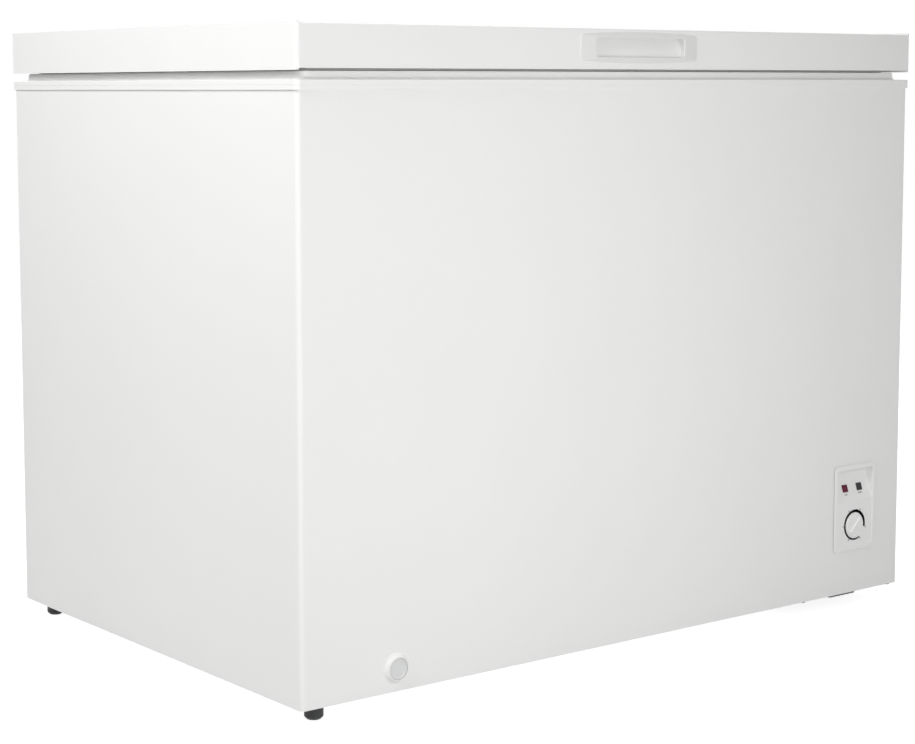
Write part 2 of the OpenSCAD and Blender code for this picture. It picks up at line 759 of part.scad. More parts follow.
module rear_bay_cover() {
    t = 1.2;
    n = 9;
    pitch = (vent_h - 70) / n;
    color(zinc) difference() {
        block(vent_x - vent_w / 2 - 10, vent_x + vent_w / 2 + 10, back_y, back_y + t,
            vent_z - vent_h / 2 - 12, vent_z + vent_h / 2 + 12);
        for (k = [0 : n - 1])
            block(vent_x - vent_w / 2 + 20, vent_x + vent_w / 2 - 20, back_y - 1, back_y + 3,
                vent_z - vent_h / 2 + 56 + (k + 0.3) * pitch, vent_z - vent_h / 2 + 56 + (k + 0.7) * pitch);
        for (x = [-1, 1], z = [-1, 1])
            translate([vent_x + x * (vent_w / 2 - 14), back_y, vent_z + z * (vent_h / 2 + 6)])
                rotate([90, 0, 0]) cylinder(h = 10, r = 1.6 + fit_gap, center = true);
        translate([gland_x, back_y, gland_z]) rotate([90, 0, 0])
            cylinder(h = 10, r = gland_out_r - 3 + fit_gap, center = true);
    }
}

module rear_cover_screws() {
    color(zinc) for (x = [-1, 1], z = [-1, 1])
        translate([vent_x + x * (vent_w / 2 - 14), back_y + 1.2, vent_z + z * (vent_h / 2 + 6)])
            rotate([-90, 0, 0]) screw(1.6, 7);
}

// round gland with an open bore where the mains cord goes in
module cord_gland() {
    color(black) translate([gland_x, back_y, gland_z]) rotate([-90, 0, 0]) difference() {
        union() {
            translate([0, 0, 1.2]) cylinder(h = 3, r = gland_out_r);
            translate([0, 0, -6]) cylinder(h = 16, r = gland_out_r - 3);
            translate([0, 0, -3]) cylinder(h = 3, r = gland_out_r - 0.5);
        }
        translate([0, 0, -10]) cylinder(h = 30, r = cord_r);
    }
}

// ---- drain ----

// path of the drain pipe: down from the tub's floor, then forward to the front
module drain_run(r) {
    translate([drain_x, inlet_y, drain_z]) cylinder(h = tub_floor - drain_z - tub_t, r = r);
    translate([drain_x, inlet_y, drain_z]) rotate([90, 0, 0]) cylinder(h = inlet_y - front_y + 4, r = r);
    translate([drain_x, inlet_y, drain_z]) sphere(r);
}

module drain_pipe() {
    top = tub_floor - tub_t;
    color(off_white) difference() {
        union() {
            intersection() {
                drain_run(drain_bore_r + pipe_t);
                block(left_x, right_x, front_y + skin_t, back_y, base_z, top);
            }
            translate([drain_x, inlet_y, top - 0.5]) cylinder(h = 0.5 + tub_t, r = drain_bore_r + pipe_t);
        }
        drain_run(drain_bore_r);
        translate([drain_x, inlet_y, drain_z + 10]) cylinder(h = 90, r = drain_bore_r);
    }
}

// flared ring round the outlet
module drain_outlet_ring() {
    color(white) translate([drain_x, front_y, drain_z]) rotate([90, 0, 0]) difference() {
        union() {
            cylinder(h = 1.2, r = drain_r);
            translate([0, 0, 1.2 - eps])
                cylinder(h = drain_proud - 1.2, r1 = drain_r - 1, r2 = drain_cap_r + 1.4);
            translate([0, 0, -skin_t - 10]) difference() {
                cylinder(h = 11 + skin_t, r = drain_bore_r);
                translate([0, 0, -1]) cylinder(h = 20, r = drain_bore_r - 1.4);
            }
        }
        translate([0, 0, drain_proud - 4]) cylinder(h = 10, r = drain_cap_r + fit_gap + 0.2);
        translate([0, 0, -1]) cylinder(h = 20, r = drain_bore_r - 1.4);
    }
}

// cap that plugs the outlet and is pulled out by its lip
module drain_cap() {
    color([0.84, 0.84, 0.84]) translate([drain_x, front_y, drain_z]) rotate([90, 0, 0]) {
        translate([0, 0, drain_proud - 4 + seat_gap]) difference() {
            cylinder(h = 3.4, r = drain_cap_r);
            translate([0, 0, 2.8]) cylinder(h = 1, r = drain_cap_r - 1.5);
        }
        translate([0, 0, -9]) cylinder(h = 9 + drain_proud - 3, r = drain_bore_r - 1.4 - run_gap);
    }
}

module drain_stopper() {
    color(off_white) translate([drain_x, inlet_y, tub_floor]) {
        translate([0, 0, seat_gap]) cylinder(h = 4, r = stopper_r);
        translate([0, 0, -8]) cylinder(h = 9, r = drain_bore_r - run_gap);
        translate([0, 0, 4]) difference() {
            block(-2, 2, -8, 8, 0, 9);
            translate([0, 0, 4.5]) rotate([0, 90, 0]) cylinder(h = 10, r = 2.5, center = true);
        }
    }
}

// ---- control panel ----

module panel_recess(shrink) {
    x0 = panel_x - panel_w / 2 + panel_rim + shrink;
    x1 = panel_x + panel_w / 2 - panel_rim - shrink;
    along_x(x0, x1) polygon([
        [front_y - panel_proud - 1, slope_low - 90], [front_y - panel_proud - 1, slope_top],
        [face_back + panel_slope_d, slope_top], [face_back, slope_low], [face_back - 2.2, slope_low - 3],
        [face_back - 2.2, slope_low - 90]]);
}

module on_slope(x, z) {
    y = face_back + (z - slope_low) / (slope_top - slope_low) * panel_slope_d;
    translate([x, y, z]) rotate([90 - slope_a, 0, 0]) children();
}

module control_panel() {
    t = 2.2;
    x0 = panel_x - panel_w / 2;
    x1 = panel_x + panel_w / 2;
    z0 = panel_z - panel_h / 2;
    z1 = panel_z + panel_h / 2;
    color(white) difference() {
        union() {
            along_y(front_y - panel_proud, front_y) rounded(x0, x1, z0, z1, 6);
            along_y(front_y - eps, front_y + panel_depth)
                rounded(x0 + 3 + fit_gap, x1 - 3 - fit_gap, z0 + 3 + fit_gap, z1 - 3 - fit_gap, 4);
        }
        intersection() {
            panel_recess(0);
            along_y(front_y - 30, front_y + 60)
                rounded(x0 + panel_rim, x1 - panel_rim, z0 + panel_rim, z1 - panel_rim, 3);
        }
        // hollow behind the face
        along_x(x0 + 3 + t, x1 - 3 - t) polygon([
            [front_y + panel_depth + 1, z0 + 3 + t], [front_y + panel_depth + 1, z1 - 3 - t],
            [face_back + panel_slope_d + t, z1 - 3 - t], [face_back + panel_slope_d + t, slope_top],
            [face_back + t, slope_low], [face_back + t, z0 + 3 + t]]);
        for (s = [-0.5, 0.5]) on_slope(panel_x + s * lamp_gap, lamp_z)
            cube([lamp_s + 2 * fit_gap, lamp_s + 2 * fit_gap, 40], center = true);
        translate([panel_x, front_y, knob_z]) rotate([90, 0, 0])
            cylinder(h = 40, r = stem_r + 1.5, center = true);
    }
}

module lamp_lens(x) {
    on_slope(x, lamp_z) {
        block(-lamp_s / 2, lamp_s / 2, -lamp_s / 2, lamp_s / 2, -7, 1.2);
        block(-lamp_s / 2 - 1.5, lamp_s / 2 + 1.5, -lamp_s / 2 - 1.5, lamp_s / 2 + 1.5, -7, -3.2);
    }
}

module power_lamp_lens() {
    color([0.72, 0.05, 0.18]) lamp_lens(panel_x - lamp_gap / 2);
}

module run_lamp_lens() {
    color([0.2, 0.23, 0.23]) lamp_lens(panel_x + lamp_gap / 2);
}

// switch body behind the panel, bored for the knob's stem
module thermostat() {
    face = face_back + 2.2;
    color(zinc) difference() {
        union() {
            difference() {
                block(panel_x - 18, panel_x + 18, face, face + 34, knob_z - 14, knob_z + 14);
                block(panel_x - 16, panel_x + 16, face + 2, face + 32, knob_z - 12, knob_z + 12);
            }
            translate([panel_x, face + 24, knob_z]) rotate([90, 0, 0]) cylinder(h = 23, r = stem_r + 3);
        }
        translate([panel_x, face + 20, knob_z]) rotate([90, 0, 0]) cylinder(h = 30, r = stem_r + run_gap);
    }
}

// low round knob with a diagonal finger ridge and a stem that enters the switch
module thermostat_knob() {
    color(white) translate([panel_x, knob_back, knob_z]) rotate([90, 0, 0]) {
        cylinder(h = knob_face - 0.6, r = knob_r);
        translate([0, 0, knob_face - 0.6 - eps]) cylinder(h = 0.6, r = knob_r - 0.6);
        rotate([0, 0, 45]) block(-knob_r + 4, knob_r - 4, -1.6, 1.6, 1, knob_face + knob_ridge);
        translate([0, 0, -stem_l]) cylinder(h = stem_l + 1, r = stem_r);
    }
}

// sensing bulb in the foam beside the tub, and its fine tube to the thermostat
module thermostat_bulb() {
    y = face_back + 36.2;
    color(copper) {
        translate([bulb_x, bulb_y, evap_z + 8]) cylinder(h = 44, r = bulb_r);
        tube([[panel_x - 10, y, knob_z], [panel_x - 10, y + 6, knob_z], [panel_x - 14, y + 11, knob_z + 8],
            [bulb_x, bulb_y, knob_z + 30], [bulb_x, bulb_y, evap_z + 9]], cap_r, 6);
    }
}

// ---- lid ----

// lid's side view: y and z, with rounded upper edges
module lid_section(shrink, r) {
    y0 = out_front + shrink;
    y1 = out_back - shrink;
    z1 = lid_top_z - shrink;
    translate([y0, lid_z]) square([y1 - y0, z1 - lid_z - r]);
    translate([y0 + r, lid_z]) square([y1 - y0 - 2 * r, z1 - lid_z]);
    for (y = [y0 + r, y1 - r]) translate([y, z1 - r]) circle(r, $fn = 32);
}

// plan of the grip: a wide plate whose long edges bow outwards
module grip_plan(w, h, bow, r) {
    radius = (w * w / 4 + bow * bow) / (2 * bow);
    intersection() {
        translate([0, -h / 2 + radius]) circle(radius, $fn = 180);
        translate([0, h / 2 - radius]) circle(radius, $fn = 180);
        rounded(-w / 2, w / 2, -h / 2, h / 2, r);
    }
}

grip_z = lid_z + lid_h / 2 + 2;

// part of the grip that passes through the lid's front
module grip_body(gap) {
    rounded(-grip_w / 2 + 8 - gap, grip_w / 2 - 8 + gap, -grip_h / 2 + 5 - gap, grip_h / 2 - 5 + gap, 4);
}

module at_grip(y0, y1) {
    along_y(y0, y1) translate([0, grip_z]) children();
}

module lid_skin() {
    color(white) difference() {
        union() {
            along_x(-skin_x, skin_x) difference() {
                lid_section(0, lid_edge_r);
                lid_section(skin_t, lid_edge_r - skin_t);
                translate([out_front + skin_t, lid_z - 1]) square([out_d - 2 * skin_t, 2]);
            }
            for (y = [out_front, out_back - 9]) block(-skin_x, skin_x, y, y + 9, lid_z, lid_z + skin_t);
        }
        at_grip(out_front - 5, out_front + 5) grip_body(0);
        lid_screw_places() cylinder(h = 20, r = 2 + fit_gap, center = true);
    }
}

module lid_screw_places() {
    for (s = [-1, 1], x = [-1, 1], z = [16, 36])
        translate([s * hinge_x + x * 19, out_back, lid_z + z]) rotate([-90, 0, 0]) children();
}

// end cap: flat plate with a rim that plugs into the skin
module end_cap(side) {
    x0 = side < 0 ? -out_w / 2 : skin_x;
    lip = side < 0 ? -skin_x : skin_x - 10;
    c = skin_t + fit_gap;
    difference() {
        union() {
            intersection() {
                along_x(x0, x0 + cap_t)
                    rounded(out_front, out_back, lid_z - cap_proud, lid_top_z + cap_proud, 4);
                slab(lid_z - 10, lid_top_z + 10, 0, body_r);
            }
            along_x(lip, lip + 10) rounded(out_front + c, out_back - c, lid_z + c, lid_top_z - c, 2);
        }
        along_x(side < 0 ? -out_w / 2 + 2.5 : skin_x - 12, side < 0 ? -skin_x + 12 : out_w / 2 - 2.5)
            rounded(out_front + 3, out_back - 3, lid_z + 3, lid_top_z - 3, 1);
    }
}

module lid_end_cap_left() {
    color(white) end_cap(-1);
}

module lid_end_cap_right() {
    color(white) end_cap(1);
}

module lid_inner_panel() {
    edge = lid_z + skin_t;
    x = skin_x - 10 - fit_gap;
    color(off_white) intersection() {
        union() {
            ring(edge, edge + panel_t, 3.6, seal_in, body_r, 10);
            ring(edge, seal_top + panel_t, seal_in - panel_t, seal_in, 12, 12);
            ring(seal_top, seal_top + panel_t, seal_in - panel_t, plug_in + panel_t, 12, tub_r - panel_t);
            ring(plug_z, seal_top + panel_t, plug_in, plug_in + panel_t, tub_r, tub_r - panel_t);
            slab(plug_z, plug_z + panel_t, plug_in, tub_r);
        }
        block(-x, x, out_front, out_back, lid_z - 20, lid_top_z);
    }
}

module lid_foam() {
    x = skin_x - 10 - 2 * fit_gap;
    top = lid_top_z - skin_t;
    color(foam_cream) difference() {
        intersection() {
            union() {
                slab(plug_z + panel_t, top, plug_in + panel_t, tub_r - panel_t);
                slab(seal_top + panel_t, top, seal_in - panel_t, 12);
                ring(lid_z + skin_t + panel_t, top, 3.6, seal_in - panel_t, body_r, 12);
            }
            block(-x, x, out_front, out_back, plug_z, lid_top_z);
        }
        at_grip(out_front - 1, out_front + recess_d + fit_gap) grip_body(0);
        lid_screw_places() cylinder(h = 30, r = 2 + fit_gap, center = true);
    }
}

module lid_gasket() {
    color([0.82, 0.82, 0.82]) difference() {
        ring(landing_z + seat_gap, seal_top, seal_out, seal_out + seal_w, 10, 12);
        ring(landing_z + seat_gap + 2, seal_top - 2, seal_out + 3, seal_out + seal_w - 3, 10, 12);
    }
}

module lid_grip() {
    lip = 5;
    mouth = 2;
    color(white) difference() {
        union() {
            // bezel that rises from its outer edge to the recess's mouth
            hull() {
                at_grip(out_front - grip_edge, out_front) grip_plan(grip_w, grip_h, grip_bow, 5);
                at_grip(out_front - grip_proud, out_front - grip_proud + eps)
                    rounded(-recess_w / 2 - mouth, recess_w / 2 + mouth,
                        -recess_h / 2 - mouth, recess_h / 2 + mouth, 5);
            }
            at_grip(out_front - eps, out_front + recess_d) grip_body(-2 * fit_gap);
        }
        // finger recess, taller behind its upper lip
        at_grip(out_front - 20, out_front + recess_d - 3)
            rounded(-recess_w / 2, recess_w / 2, -recess_h / 2, recess_h / 2, 3);
        at_grip(out_front + lip, out_front + recess_d - 3)
            rounded(-recess_w / 2, recess_w / 2, -recess_h / 2, recess_h / 2 + 2.4, 3);
    }
}

// ---- hinges ----

module hinge_bracket(side) {
    x = side * hinge_x;
    w = housing_w / 2;
    t = 1.6;
    color(zinc) difference() {
        union() {
            block(x - w, x + w, house_y, house_back, housing_z, housing_top);
            block(x - w - 14, x + w + 14, house_y, house_y + t, housing_z, housing_top - 8);
            for (s = [-1, 1]) {
                block(x + s * (ear_in + ear_t / 2) - ear_t / 2, x + s * (ear_in + ear_t / 2) + ear_t / 2,
                    out_back + 0.6, house_back, housing_top - 20, pivot_z);
                translate([x + s * (ear_in + ear_t / 2) - ear_t / 2, pivot_y, pivot_z])
                    rotate([0, 90, 0]) cylinder(h = ear_t, r = barrel_r + 1);
            }
        }
        block(x - w + t, x + w - t, house_y + t, house_back - t, housing_z - 1, housing_top - t);
        translate([x, pivot_y, pivot_z]) rotate([0, 90, 0]) cylinder(h = 60, r = pin_r, center = true);
        translate([x, spring_y, housing_top - 5]) cylinder(h = 10, r = rod_r + run_gap);
        hinge_screw_places(housing_z + 15, housing_top - 20, housing_w / 2 + 7)
            translate([0, back_y, 0]) rotate([90, 0, 0]) cylinder(h = 10, r = 2 + fit_gap, center = true);
    }
}

module hinge_leaf(side) {
    x = side * hinge_x;
    color(zinc) difference() {
        union() {
            translate([x - leaf_w / 2, pivot_y, pivot_z])
                rotate([0, 90, 0]) cylinder(h = leaf_w, r = barrel_r);
            block(x - leaf_w / 2, x + leaf_w / 2, out_back, out_back + leaf_t, pivot_z, lid_z + 42);
            block(x - leaf_w / 2, x + leaf_w / 2, out_back, pivot_y, pivot_z, pivot_z + leaf_t);
            block(x - housing_w / 2, x + housing_w / 2, out_back, out_back + leaf_t, lid_z + 10, lid_z + 42);
        }
        translate([x, pivot_y, pivot_z])
            rotate([0, 90, 0]) cylinder(h = 60, r = pin_r + run_gap, center = true);
        lid_screw_places() cylinder(h = 20, r = 2 + fit_gap, center = true);
    }
}

module hinge_pin(side) {
    color(zinc) translate([side * hinge_x, pivot_y, pivot_z]) rotate([0, 90, 0])
        cylinder(h = 2 * (ear_in + ear_t) + 4, r = pin_r, center = true);
}

module hinge_rod(side) {
    color(zinc) translate([side * hinge_x, spring_y, 0]) {
        translate([0, 0, housing_z + 8]) cylinder(h = housing_top + 4 - housing_z - 8, r = rod_r);
        translate([0, 0, housing_z + 12]) cylinder(h = 3, r = spring_r);
        translate([0, 0, housing_top]) cylinder(h = 3, r = 5, $fn = 6);
    }
}

module hinge_spring(side) {
    turns = 11;
    steps = 8;
    z0 = housing_z + 15 + spring_wire_r + seat_gap;
    z1 = housing_top - 1.6 - spring_wire_r - seat_gap;
    coil_r = spring_r - spring_wire_r;
    color(zinc) tube([for (i = [0 : turns * steps])
        [side * hinge_x + coil_r * cos(360 * i / steps), spring_y + coil_r * sin(360 * i / steps),
         z0 + (z1 - z0) * i / (turns * steps)]], spring_wire_r, 5);
}

module hinge_bracket_left() {
    hinge_bracket(-1);
}

module hinge_bracket_right() {
    hinge_bracket(1);
}

module hinge_leaf_left() {
    hinge_leaf(-1);
}

module hinge_leaf_right() {
    hinge_leaf(1);
}

module hinge_pin_left() {
    hinge_pin(-1);
}

module hinge_pin_right() {
    hinge_pin(1);
}

module hinge_spring_left() {
    hinge_spring(-1);
}

module hinge_spring_right() {
    hinge_spring(1);
}

module hinge_rod_left() {
    hinge_rod(-1);
}

module hinge_rod_right() {
    hinge_rod(1);
}

module hinge_screws() {
    color(zinc) hinge_screw_places(housing_z + 15, housing_top - 20, housing_w / 2 + 7)
        translate([0, back_y + 1.6, 0]) rotate([-90, 0, 0]) screw(2, 18);
}

module lid_hinge_screws() {
    color(zinc) lid_screw_places() translate([0, 0, leaf_t]) screw(2, 12);
}

// ---- basket ----

module wire(a, b, r) {
    d = b - a;
    translate(a) rotate([0, acos(d[2] / norm(d)), atan2(d[1], d[0])]) cylinder(h = norm(d), r = r, $fn = 8);
}

module wire_basket() {
    x0 = basket_x - basket_w / 2;
    x1 = basket_x + basket_w / 2;
    y0 = basket_y0;
    y1 = basket_y1;
    top = rim_z;
    low = top - basket_h;
    n_x = 5;
    n_y = 13;
    color(white) {
        // rim with the two hooks that rest on the ledge
        for (x = [x0, x1]) wire([x, rim_y0, top], [x, rim_y1, top], rim_wire_r);
        for (y = [rim_y0, rim_y1]) wire([x0 - rim_wire_r, y, top], [x1 + rim_wire_r, y, top], rim_wire_r);
        for (z = [top - basket_h * 0.35, top - basket_h * 0.7]) {
            for (x = [x0, x1]) wire([x, y0, z], [x, y1, z], mesh_wire_r);
            for (y = [y0, y1]) wire([x0, y, z], [x1, y, z], mesh_wire_r);
        }
        // wires that run down one side, along the bottom and up the other
        for (i = [0 : n_x - 1]) let (x = x0 + (x1 - x0) * i / (n_x - 1)) {
            for (y = [y0, y1]) wire([x, y, low], [x, y, top], mesh_wire_r);
            wire([x, y0 - mesh_wire_r, low], [x, y1 + mesh_wire_r, low], mesh_wire_r);
            wire([x, y0, top], [x, rim_y0, top], mesh_wire_r);
            wire([x, y1, top], [x, rim_y1, top], mesh_wire_r);
        }
        for (i = [1 : n_y - 1]) let (y = y0 + (y1 - y0) * i / n_y) {
            for (x = [x0, x1]) wire([x, y, low], [x, y, top], mesh_wire_r);
            wire([x0 - mesh_wire_r, y, low], [x1 + mesh_wire_r, y, low], mesh_wire_r);
        }
    }
}

// ---- levelling feet ----

module foot(i) {
    color(black) translate([foot_places[i][0], foot_places[i][1], 0]) {
        cylinder(h = 2, r1 = foot_r - 3.5, r2 = foot_r - 1);
        translate([0, 0, 2 - eps]) cylinder(h = 1.5, r1 = foot_r - 1, r2 = foot_r);
        translate([0, 0, 3.5 - eps]) cylinder(h = foot_h - 3.5, r = foot_r);
        translate([0, 0, foot_h - eps]) cylinder(h = stud_h, r = stud_r);
    }
}

module foot_front_left() {
    foot(0);
}

module foot_front_right() {
    foot(1);
}

module foot_rear_left() {
    foot(2);
}

module foot_rear_right() {
    foot(3);
}

// threaded bushes that the feet screw into
module foot_nuts() {
    color(zinc) for (p = foot_places) translate([p[0], p[1], pan_z]) difference() {
        translate([0, 0, -nut_h]) cylinder(h = nut_h, r = 8.5, $fn = 6);
        translate([0, 0, -nut_h - 1]) cylinder(h = nut_h + 2, r = stud_r + run_gap);
    }
}

outer_shell();
back_panel();
bottom_panel();
foam_insulation();
inner_liner();
top_frame();
evaporator_tube();
condenser_tube();
drain_pipe();
drain_outlet_ring();
drain_cap();
drain_stopper();
compressor();
compressor_grommets();
compressor_bolts();
compressor_base_plate();
base_plate_screws();
terminal_cover();
suction_tube();
discharge_tube();
filter_drier();
capillary_tube();
side_grille();
grille_screws();
rear_bay_cover();
rear_cover_screws();
cord_gland();
control_panel();
power_lamp_lens();
run_lamp_lens();
thermostat();
thermostat_knob();
thermostat_bulb();
lid_skin();
lid_end_cap_left();
lid_end_cap_right();
lid_foam();
lid_inner_panel();
lid_gasket();
lid_grip();
hinge_bracket_left();
hinge_bracket_right();
hinge_leaf_left();
hinge_leaf_right();
hinge_pin_left();
hinge_pin_right();
hinge_spring_left();
hinge_spring_right();
hinge_rod_left();
hinge_rod_right();
hinge_screws();
lid_hinge_screws();
wire_basket();
foot_front_left();
foot_front_right();
foot_rear_left();
foot_rear_right();
foot_nuts();
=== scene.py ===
import json
from math import atan2, copysign, cos, hypot, pi, radians, sin, sqrt, tan

import bmesh
import bpy
from mathutils import Matrix, Vector
from mathutils.bvhtree import BVHTree


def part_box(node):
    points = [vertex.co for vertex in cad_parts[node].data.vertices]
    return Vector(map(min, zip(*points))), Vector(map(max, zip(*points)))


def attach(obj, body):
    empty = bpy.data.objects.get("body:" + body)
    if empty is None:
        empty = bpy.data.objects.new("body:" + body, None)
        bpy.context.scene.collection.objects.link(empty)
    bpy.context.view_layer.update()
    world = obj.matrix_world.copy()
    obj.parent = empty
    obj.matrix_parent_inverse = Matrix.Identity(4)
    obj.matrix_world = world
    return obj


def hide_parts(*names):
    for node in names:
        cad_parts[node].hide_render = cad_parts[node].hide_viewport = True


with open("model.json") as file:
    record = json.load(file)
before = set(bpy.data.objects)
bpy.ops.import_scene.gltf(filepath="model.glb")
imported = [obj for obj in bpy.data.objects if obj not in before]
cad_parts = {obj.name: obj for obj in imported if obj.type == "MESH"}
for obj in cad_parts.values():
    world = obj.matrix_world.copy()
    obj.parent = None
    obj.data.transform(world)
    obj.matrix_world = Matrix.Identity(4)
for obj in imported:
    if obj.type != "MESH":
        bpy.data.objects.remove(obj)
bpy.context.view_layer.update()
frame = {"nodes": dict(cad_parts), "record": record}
mm = 0.001
bodyOf = {node: body for body, nodes in frame["record"]["behaviour"]["bodies"].items() for node in nodes}
slotOf = {part["node"]: part["material_slot"] for part in frame["record"]["subparts"]}
print("frame loaded, nodes:", len(frame["nodes"]))


def linear(hexColour):
    channels = [int(hexColour[i:i + 2], 16) / 255 for i in (0, 2, 4)]
    return [c / 12.92 if c <= 0.04045 else ((c + 0.055) / 1.055) ** 2.4 for c in channels] + [1.0]


def addNode(owner, kind, feeds=None, into=None, out=0, **settings):
    # owner is a material or the world; feeds are sockets to link or values to set; gives the chosen output
    node = owner.node_tree.nodes.new("ShaderNode" + kind)
    for key, value in settings.items():
        setattr(node, key, value)
    for key, value in (feeds or {}).items():
        if isinstance(value, bpy.types.NodeSocket):
            owner.node_tree.links.new(value, node.inputs[key])
        else:
            node.inputs[key].default_value = value
    if into:
        owner.node_tree.links.new(node.outputs[out], into)
    return node.outputs[out]


def startFinish(name, sockets):
    # a new material, and the place on the piece that its patterns follow
    finish = bpy.data.materials.new(name)
    finish.use_nodes = True
    for key, value in sockets.items():
        finish.node_tree.nodes["Principled BSDF"].inputs[key].default_value = value
    return finish, addNode(finish, "TexCoord", out="Object")


def patterned(finish, look, tint, gloss, relief=None):
    # one pattern leads the colour from the first tone to the second, one the roughness and one the relief
    shader = finish.node_tree.nodes["Principled BSDF"].inputs
    firstTone, lastTone = look["tones"]
    smooth, rough = look["roughness"]
    addNode(finish, "Mix", {0: tint, 6: linear(firstTone), 7: linear(lastTone)}, shader["Base Color"], 2,
            data_type="RGBA")
    addNode(finish, "MapRange", {"Value": gloss, "To Min": smooth, "To Max": rough}, shader["Roughness"])
    if relief:
        addNode(finish, "Bump", {"Height": relief, "Strength": look["strength"], "Distance": look["depth"]},
                shader["Normal"])
    return finish


def evenFinish(name, sockets, look, size, feeds=None, pattern="TexNoise", **settings):
    # a finish whose colour, roughness and relief follow one pattern
    finish, place = startFinish(name, sockets)
    skin = addNode(finish, pattern, {"Vector": place, "Scale": 1 / size, **(feeds or {})}, **settings)
    return patterned(finish, look, skin, skin, skin if "depth" in look else None)


def bakedEnamel():
    # powder enamel baked on sheet steel: satin gloss that a faint orange peel softens
    look = {"tones": ("EEEEED", "F1F1F0"), "roughness": (0.42, 0.49), "peel": 3.2 * mm, "drift": 180 * mm,
            "strength": 0.35, "depth": 0.02 * mm}
    finish, place = startFinish("bakedWhiteEnamel", {"IOR": 1.5})
    peel = addNode(finish, "TexNoise", {"Vector": place, "Scale": 1 / look["peel"]})
    drift = addNode(finish, "TexNoise", {"Vector": place, "Scale": 1 / look["drift"]})
    return patterned(finish, look, drift, peel, peel)


def mouldedAbs(name, tones, roughness):
    # injection-moulded ABS: even colour, dulled by a spark-eroded grain of 0.3 mm, drawn at 0.9 mm to show
    look = {"tones": tones, "roughness": roughness, "grain": 0.9 * mm, "detail": 1.0, "drift": 60 * mm,
            "strength": 0.3, "depth": 0.03 * mm}
    finish, place = startFinish(name, {"IOR": 1.54})
    pits = addNode(finish, "TexNoise", {"Vector": place, "Scale": 1 / look["grain"],
                                        "Detail": look["detail"]})
    drift = addNode(finish, "TexNoise", {"Vector": place, "Scale": 1 / look["drift"]})
    return patterned(finish, look, drift, pits, pits)


def stuccoAluminium():
    # aluminium sheet rolled with a stucco pattern: pebbles of about 5 mm that break up every reflection
    look = {"tones": ("E6E7E7", "F1F1F1"), "roughness": (0.44, 0.60), "pebble": 5.0 * mm, "wander": 9 * mm,
            "wanderDetail": 1.0, "shift": 4 * mm, "smear": 40 * mm, "strength": 0.6, "depth": 0.35 * mm}
    finish, place = startFinish("stuccoEmbossedAluminium", {"Metallic": 1.0})
    bend = addNode(finish, "TexNoise", {"Vector": place, "Scale": 1 / look["wander"],
                                        "Detail": look["wanderDetail"]}, out=1)
    shift = addNode(finish, "VectorMath", {0: bend, 1: (look["shift"],) * 3}, operation="MULTIPLY")
    moved = addNode(finish, "VectorMath", {0: place, 1: shift}, operation="ADD")
    pebbles = addNode(finish, "TexVoronoi", {"Vector": moved, "Scale": 1 / look["pebble"]},
                      feature="SMOOTH_F1")
    smear = addNode(finish, "TexNoise", {"Vector": place, "Scale": 1 / look["smear"]})
    return patterned(finish, look, smear, pebbles, pebbles)


def galvanisedSheet():
    # hot-dip zinc on steel: spangles of about 7 mm, each crystal a slightly different grey and gloss
    look = {"tones": ("B9BCBE", "C1C4C6"), "roughness": (0.36, 0.48), "spangle": 7 * mm, "ripple": 2.5 * mm,
            "strength": 0.15, "depth": 0.02 * mm}
    finish, place = startFinish("galvanisedSpangleSteel", {"Metallic": 1.0})
    cells = addNode(finish, "TexVoronoi", {"Vector": place, "Scale": 1 / look["spangle"]}, out="Color")
    shade = addNode(finish, "SeparateColor", {0: cells})
    ripple = addNode(finish, "TexNoise", {"Vector": place, "Scale": 1 / look["ripple"]})
    return patterned(finish, look, shade, shade, ripple)


def formedPolystyrene():
    # vacuum-formed polystyrene sheet: white with a soft sheen and the mould's slow waviness
    look = {"tones": ("E6E6E3", "EBEBE8"), "roughness": (0.34, 0.44), "wave": 14 * mm, "strength": 0.2,
            "depth": 0.05 * mm}
    return evenFinish("vacuumFormedPolystyrene", {"IOR": 1.59}, look, look["wave"])


def pouredFoam():
    # rigid polyurethane foam poured in place: cream and matt, with broken cells of about 2 mm
    look = {"tones": ("D9C897", "EADDB4"), "roughness": (0.8, 0.95), "cell": 1.8 * mm, "strength": 0.7,
            "depth": 0.3 * mm}
    return evenFinish("pouredPolyurethaneFoam", {"IOR": 1.45}, look, look["cell"], pattern="TexVoronoi")


def extrudedPvc():
    # extruded soft PVC: grey-white and slightly waxy, with fine die lines along the strip
    look = {"tones": ("DADBDA", "E4E4E2"), "roughness": (0.42, 0.56), "line": 30 * mm, "flatten": (1, 1, 40),
            "detail": 3.0, "strength": 0.2, "depth": 0.04 * mm}
    finish, place = startFinish("extrudedSoftPvc", {"IOR": 1.53})
    along = addNode(finish, "Mapping", {"Vector": place, "Scale": look["flatten"]})
    lines = addNode(finish, "TexNoise", {"Vector": along, "Scale": 1 / look["line"],
                                         "Detail": look["detail"]})
    return patterned(finish, look, lines, lines, lines)


def darkMoulding(name, tones, grain, roughness):
    # moulded black nylon or rubber: near black, with a dry grained skin that hardly shines
    look = {"tones": tones, "roughness": roughness, "detail": 3.0, "strength": 0.4, "depth": 0.06 * mm}
    return evenFinish(name, {"IOR": 1.5}, look, grain, {"Detail": look["detail"]})


def stovedEnamel():
    # black enamel dipped and stoved on a drawn steel pot: glossy, with slow runs
    look = {"tones": ("121314", "1C1E20"), "roughness": (0.24, 0.36), "run": 12 * mm, "strength": 0.25,
            "depth": 0.1 * mm}
    gloss = {"IOR": 1.5, "Coat Weight": 0.4, "Coat Roughness": 0.12}
    return evenFinish("stovedBlackEnamel", gloss, look, look["run"])


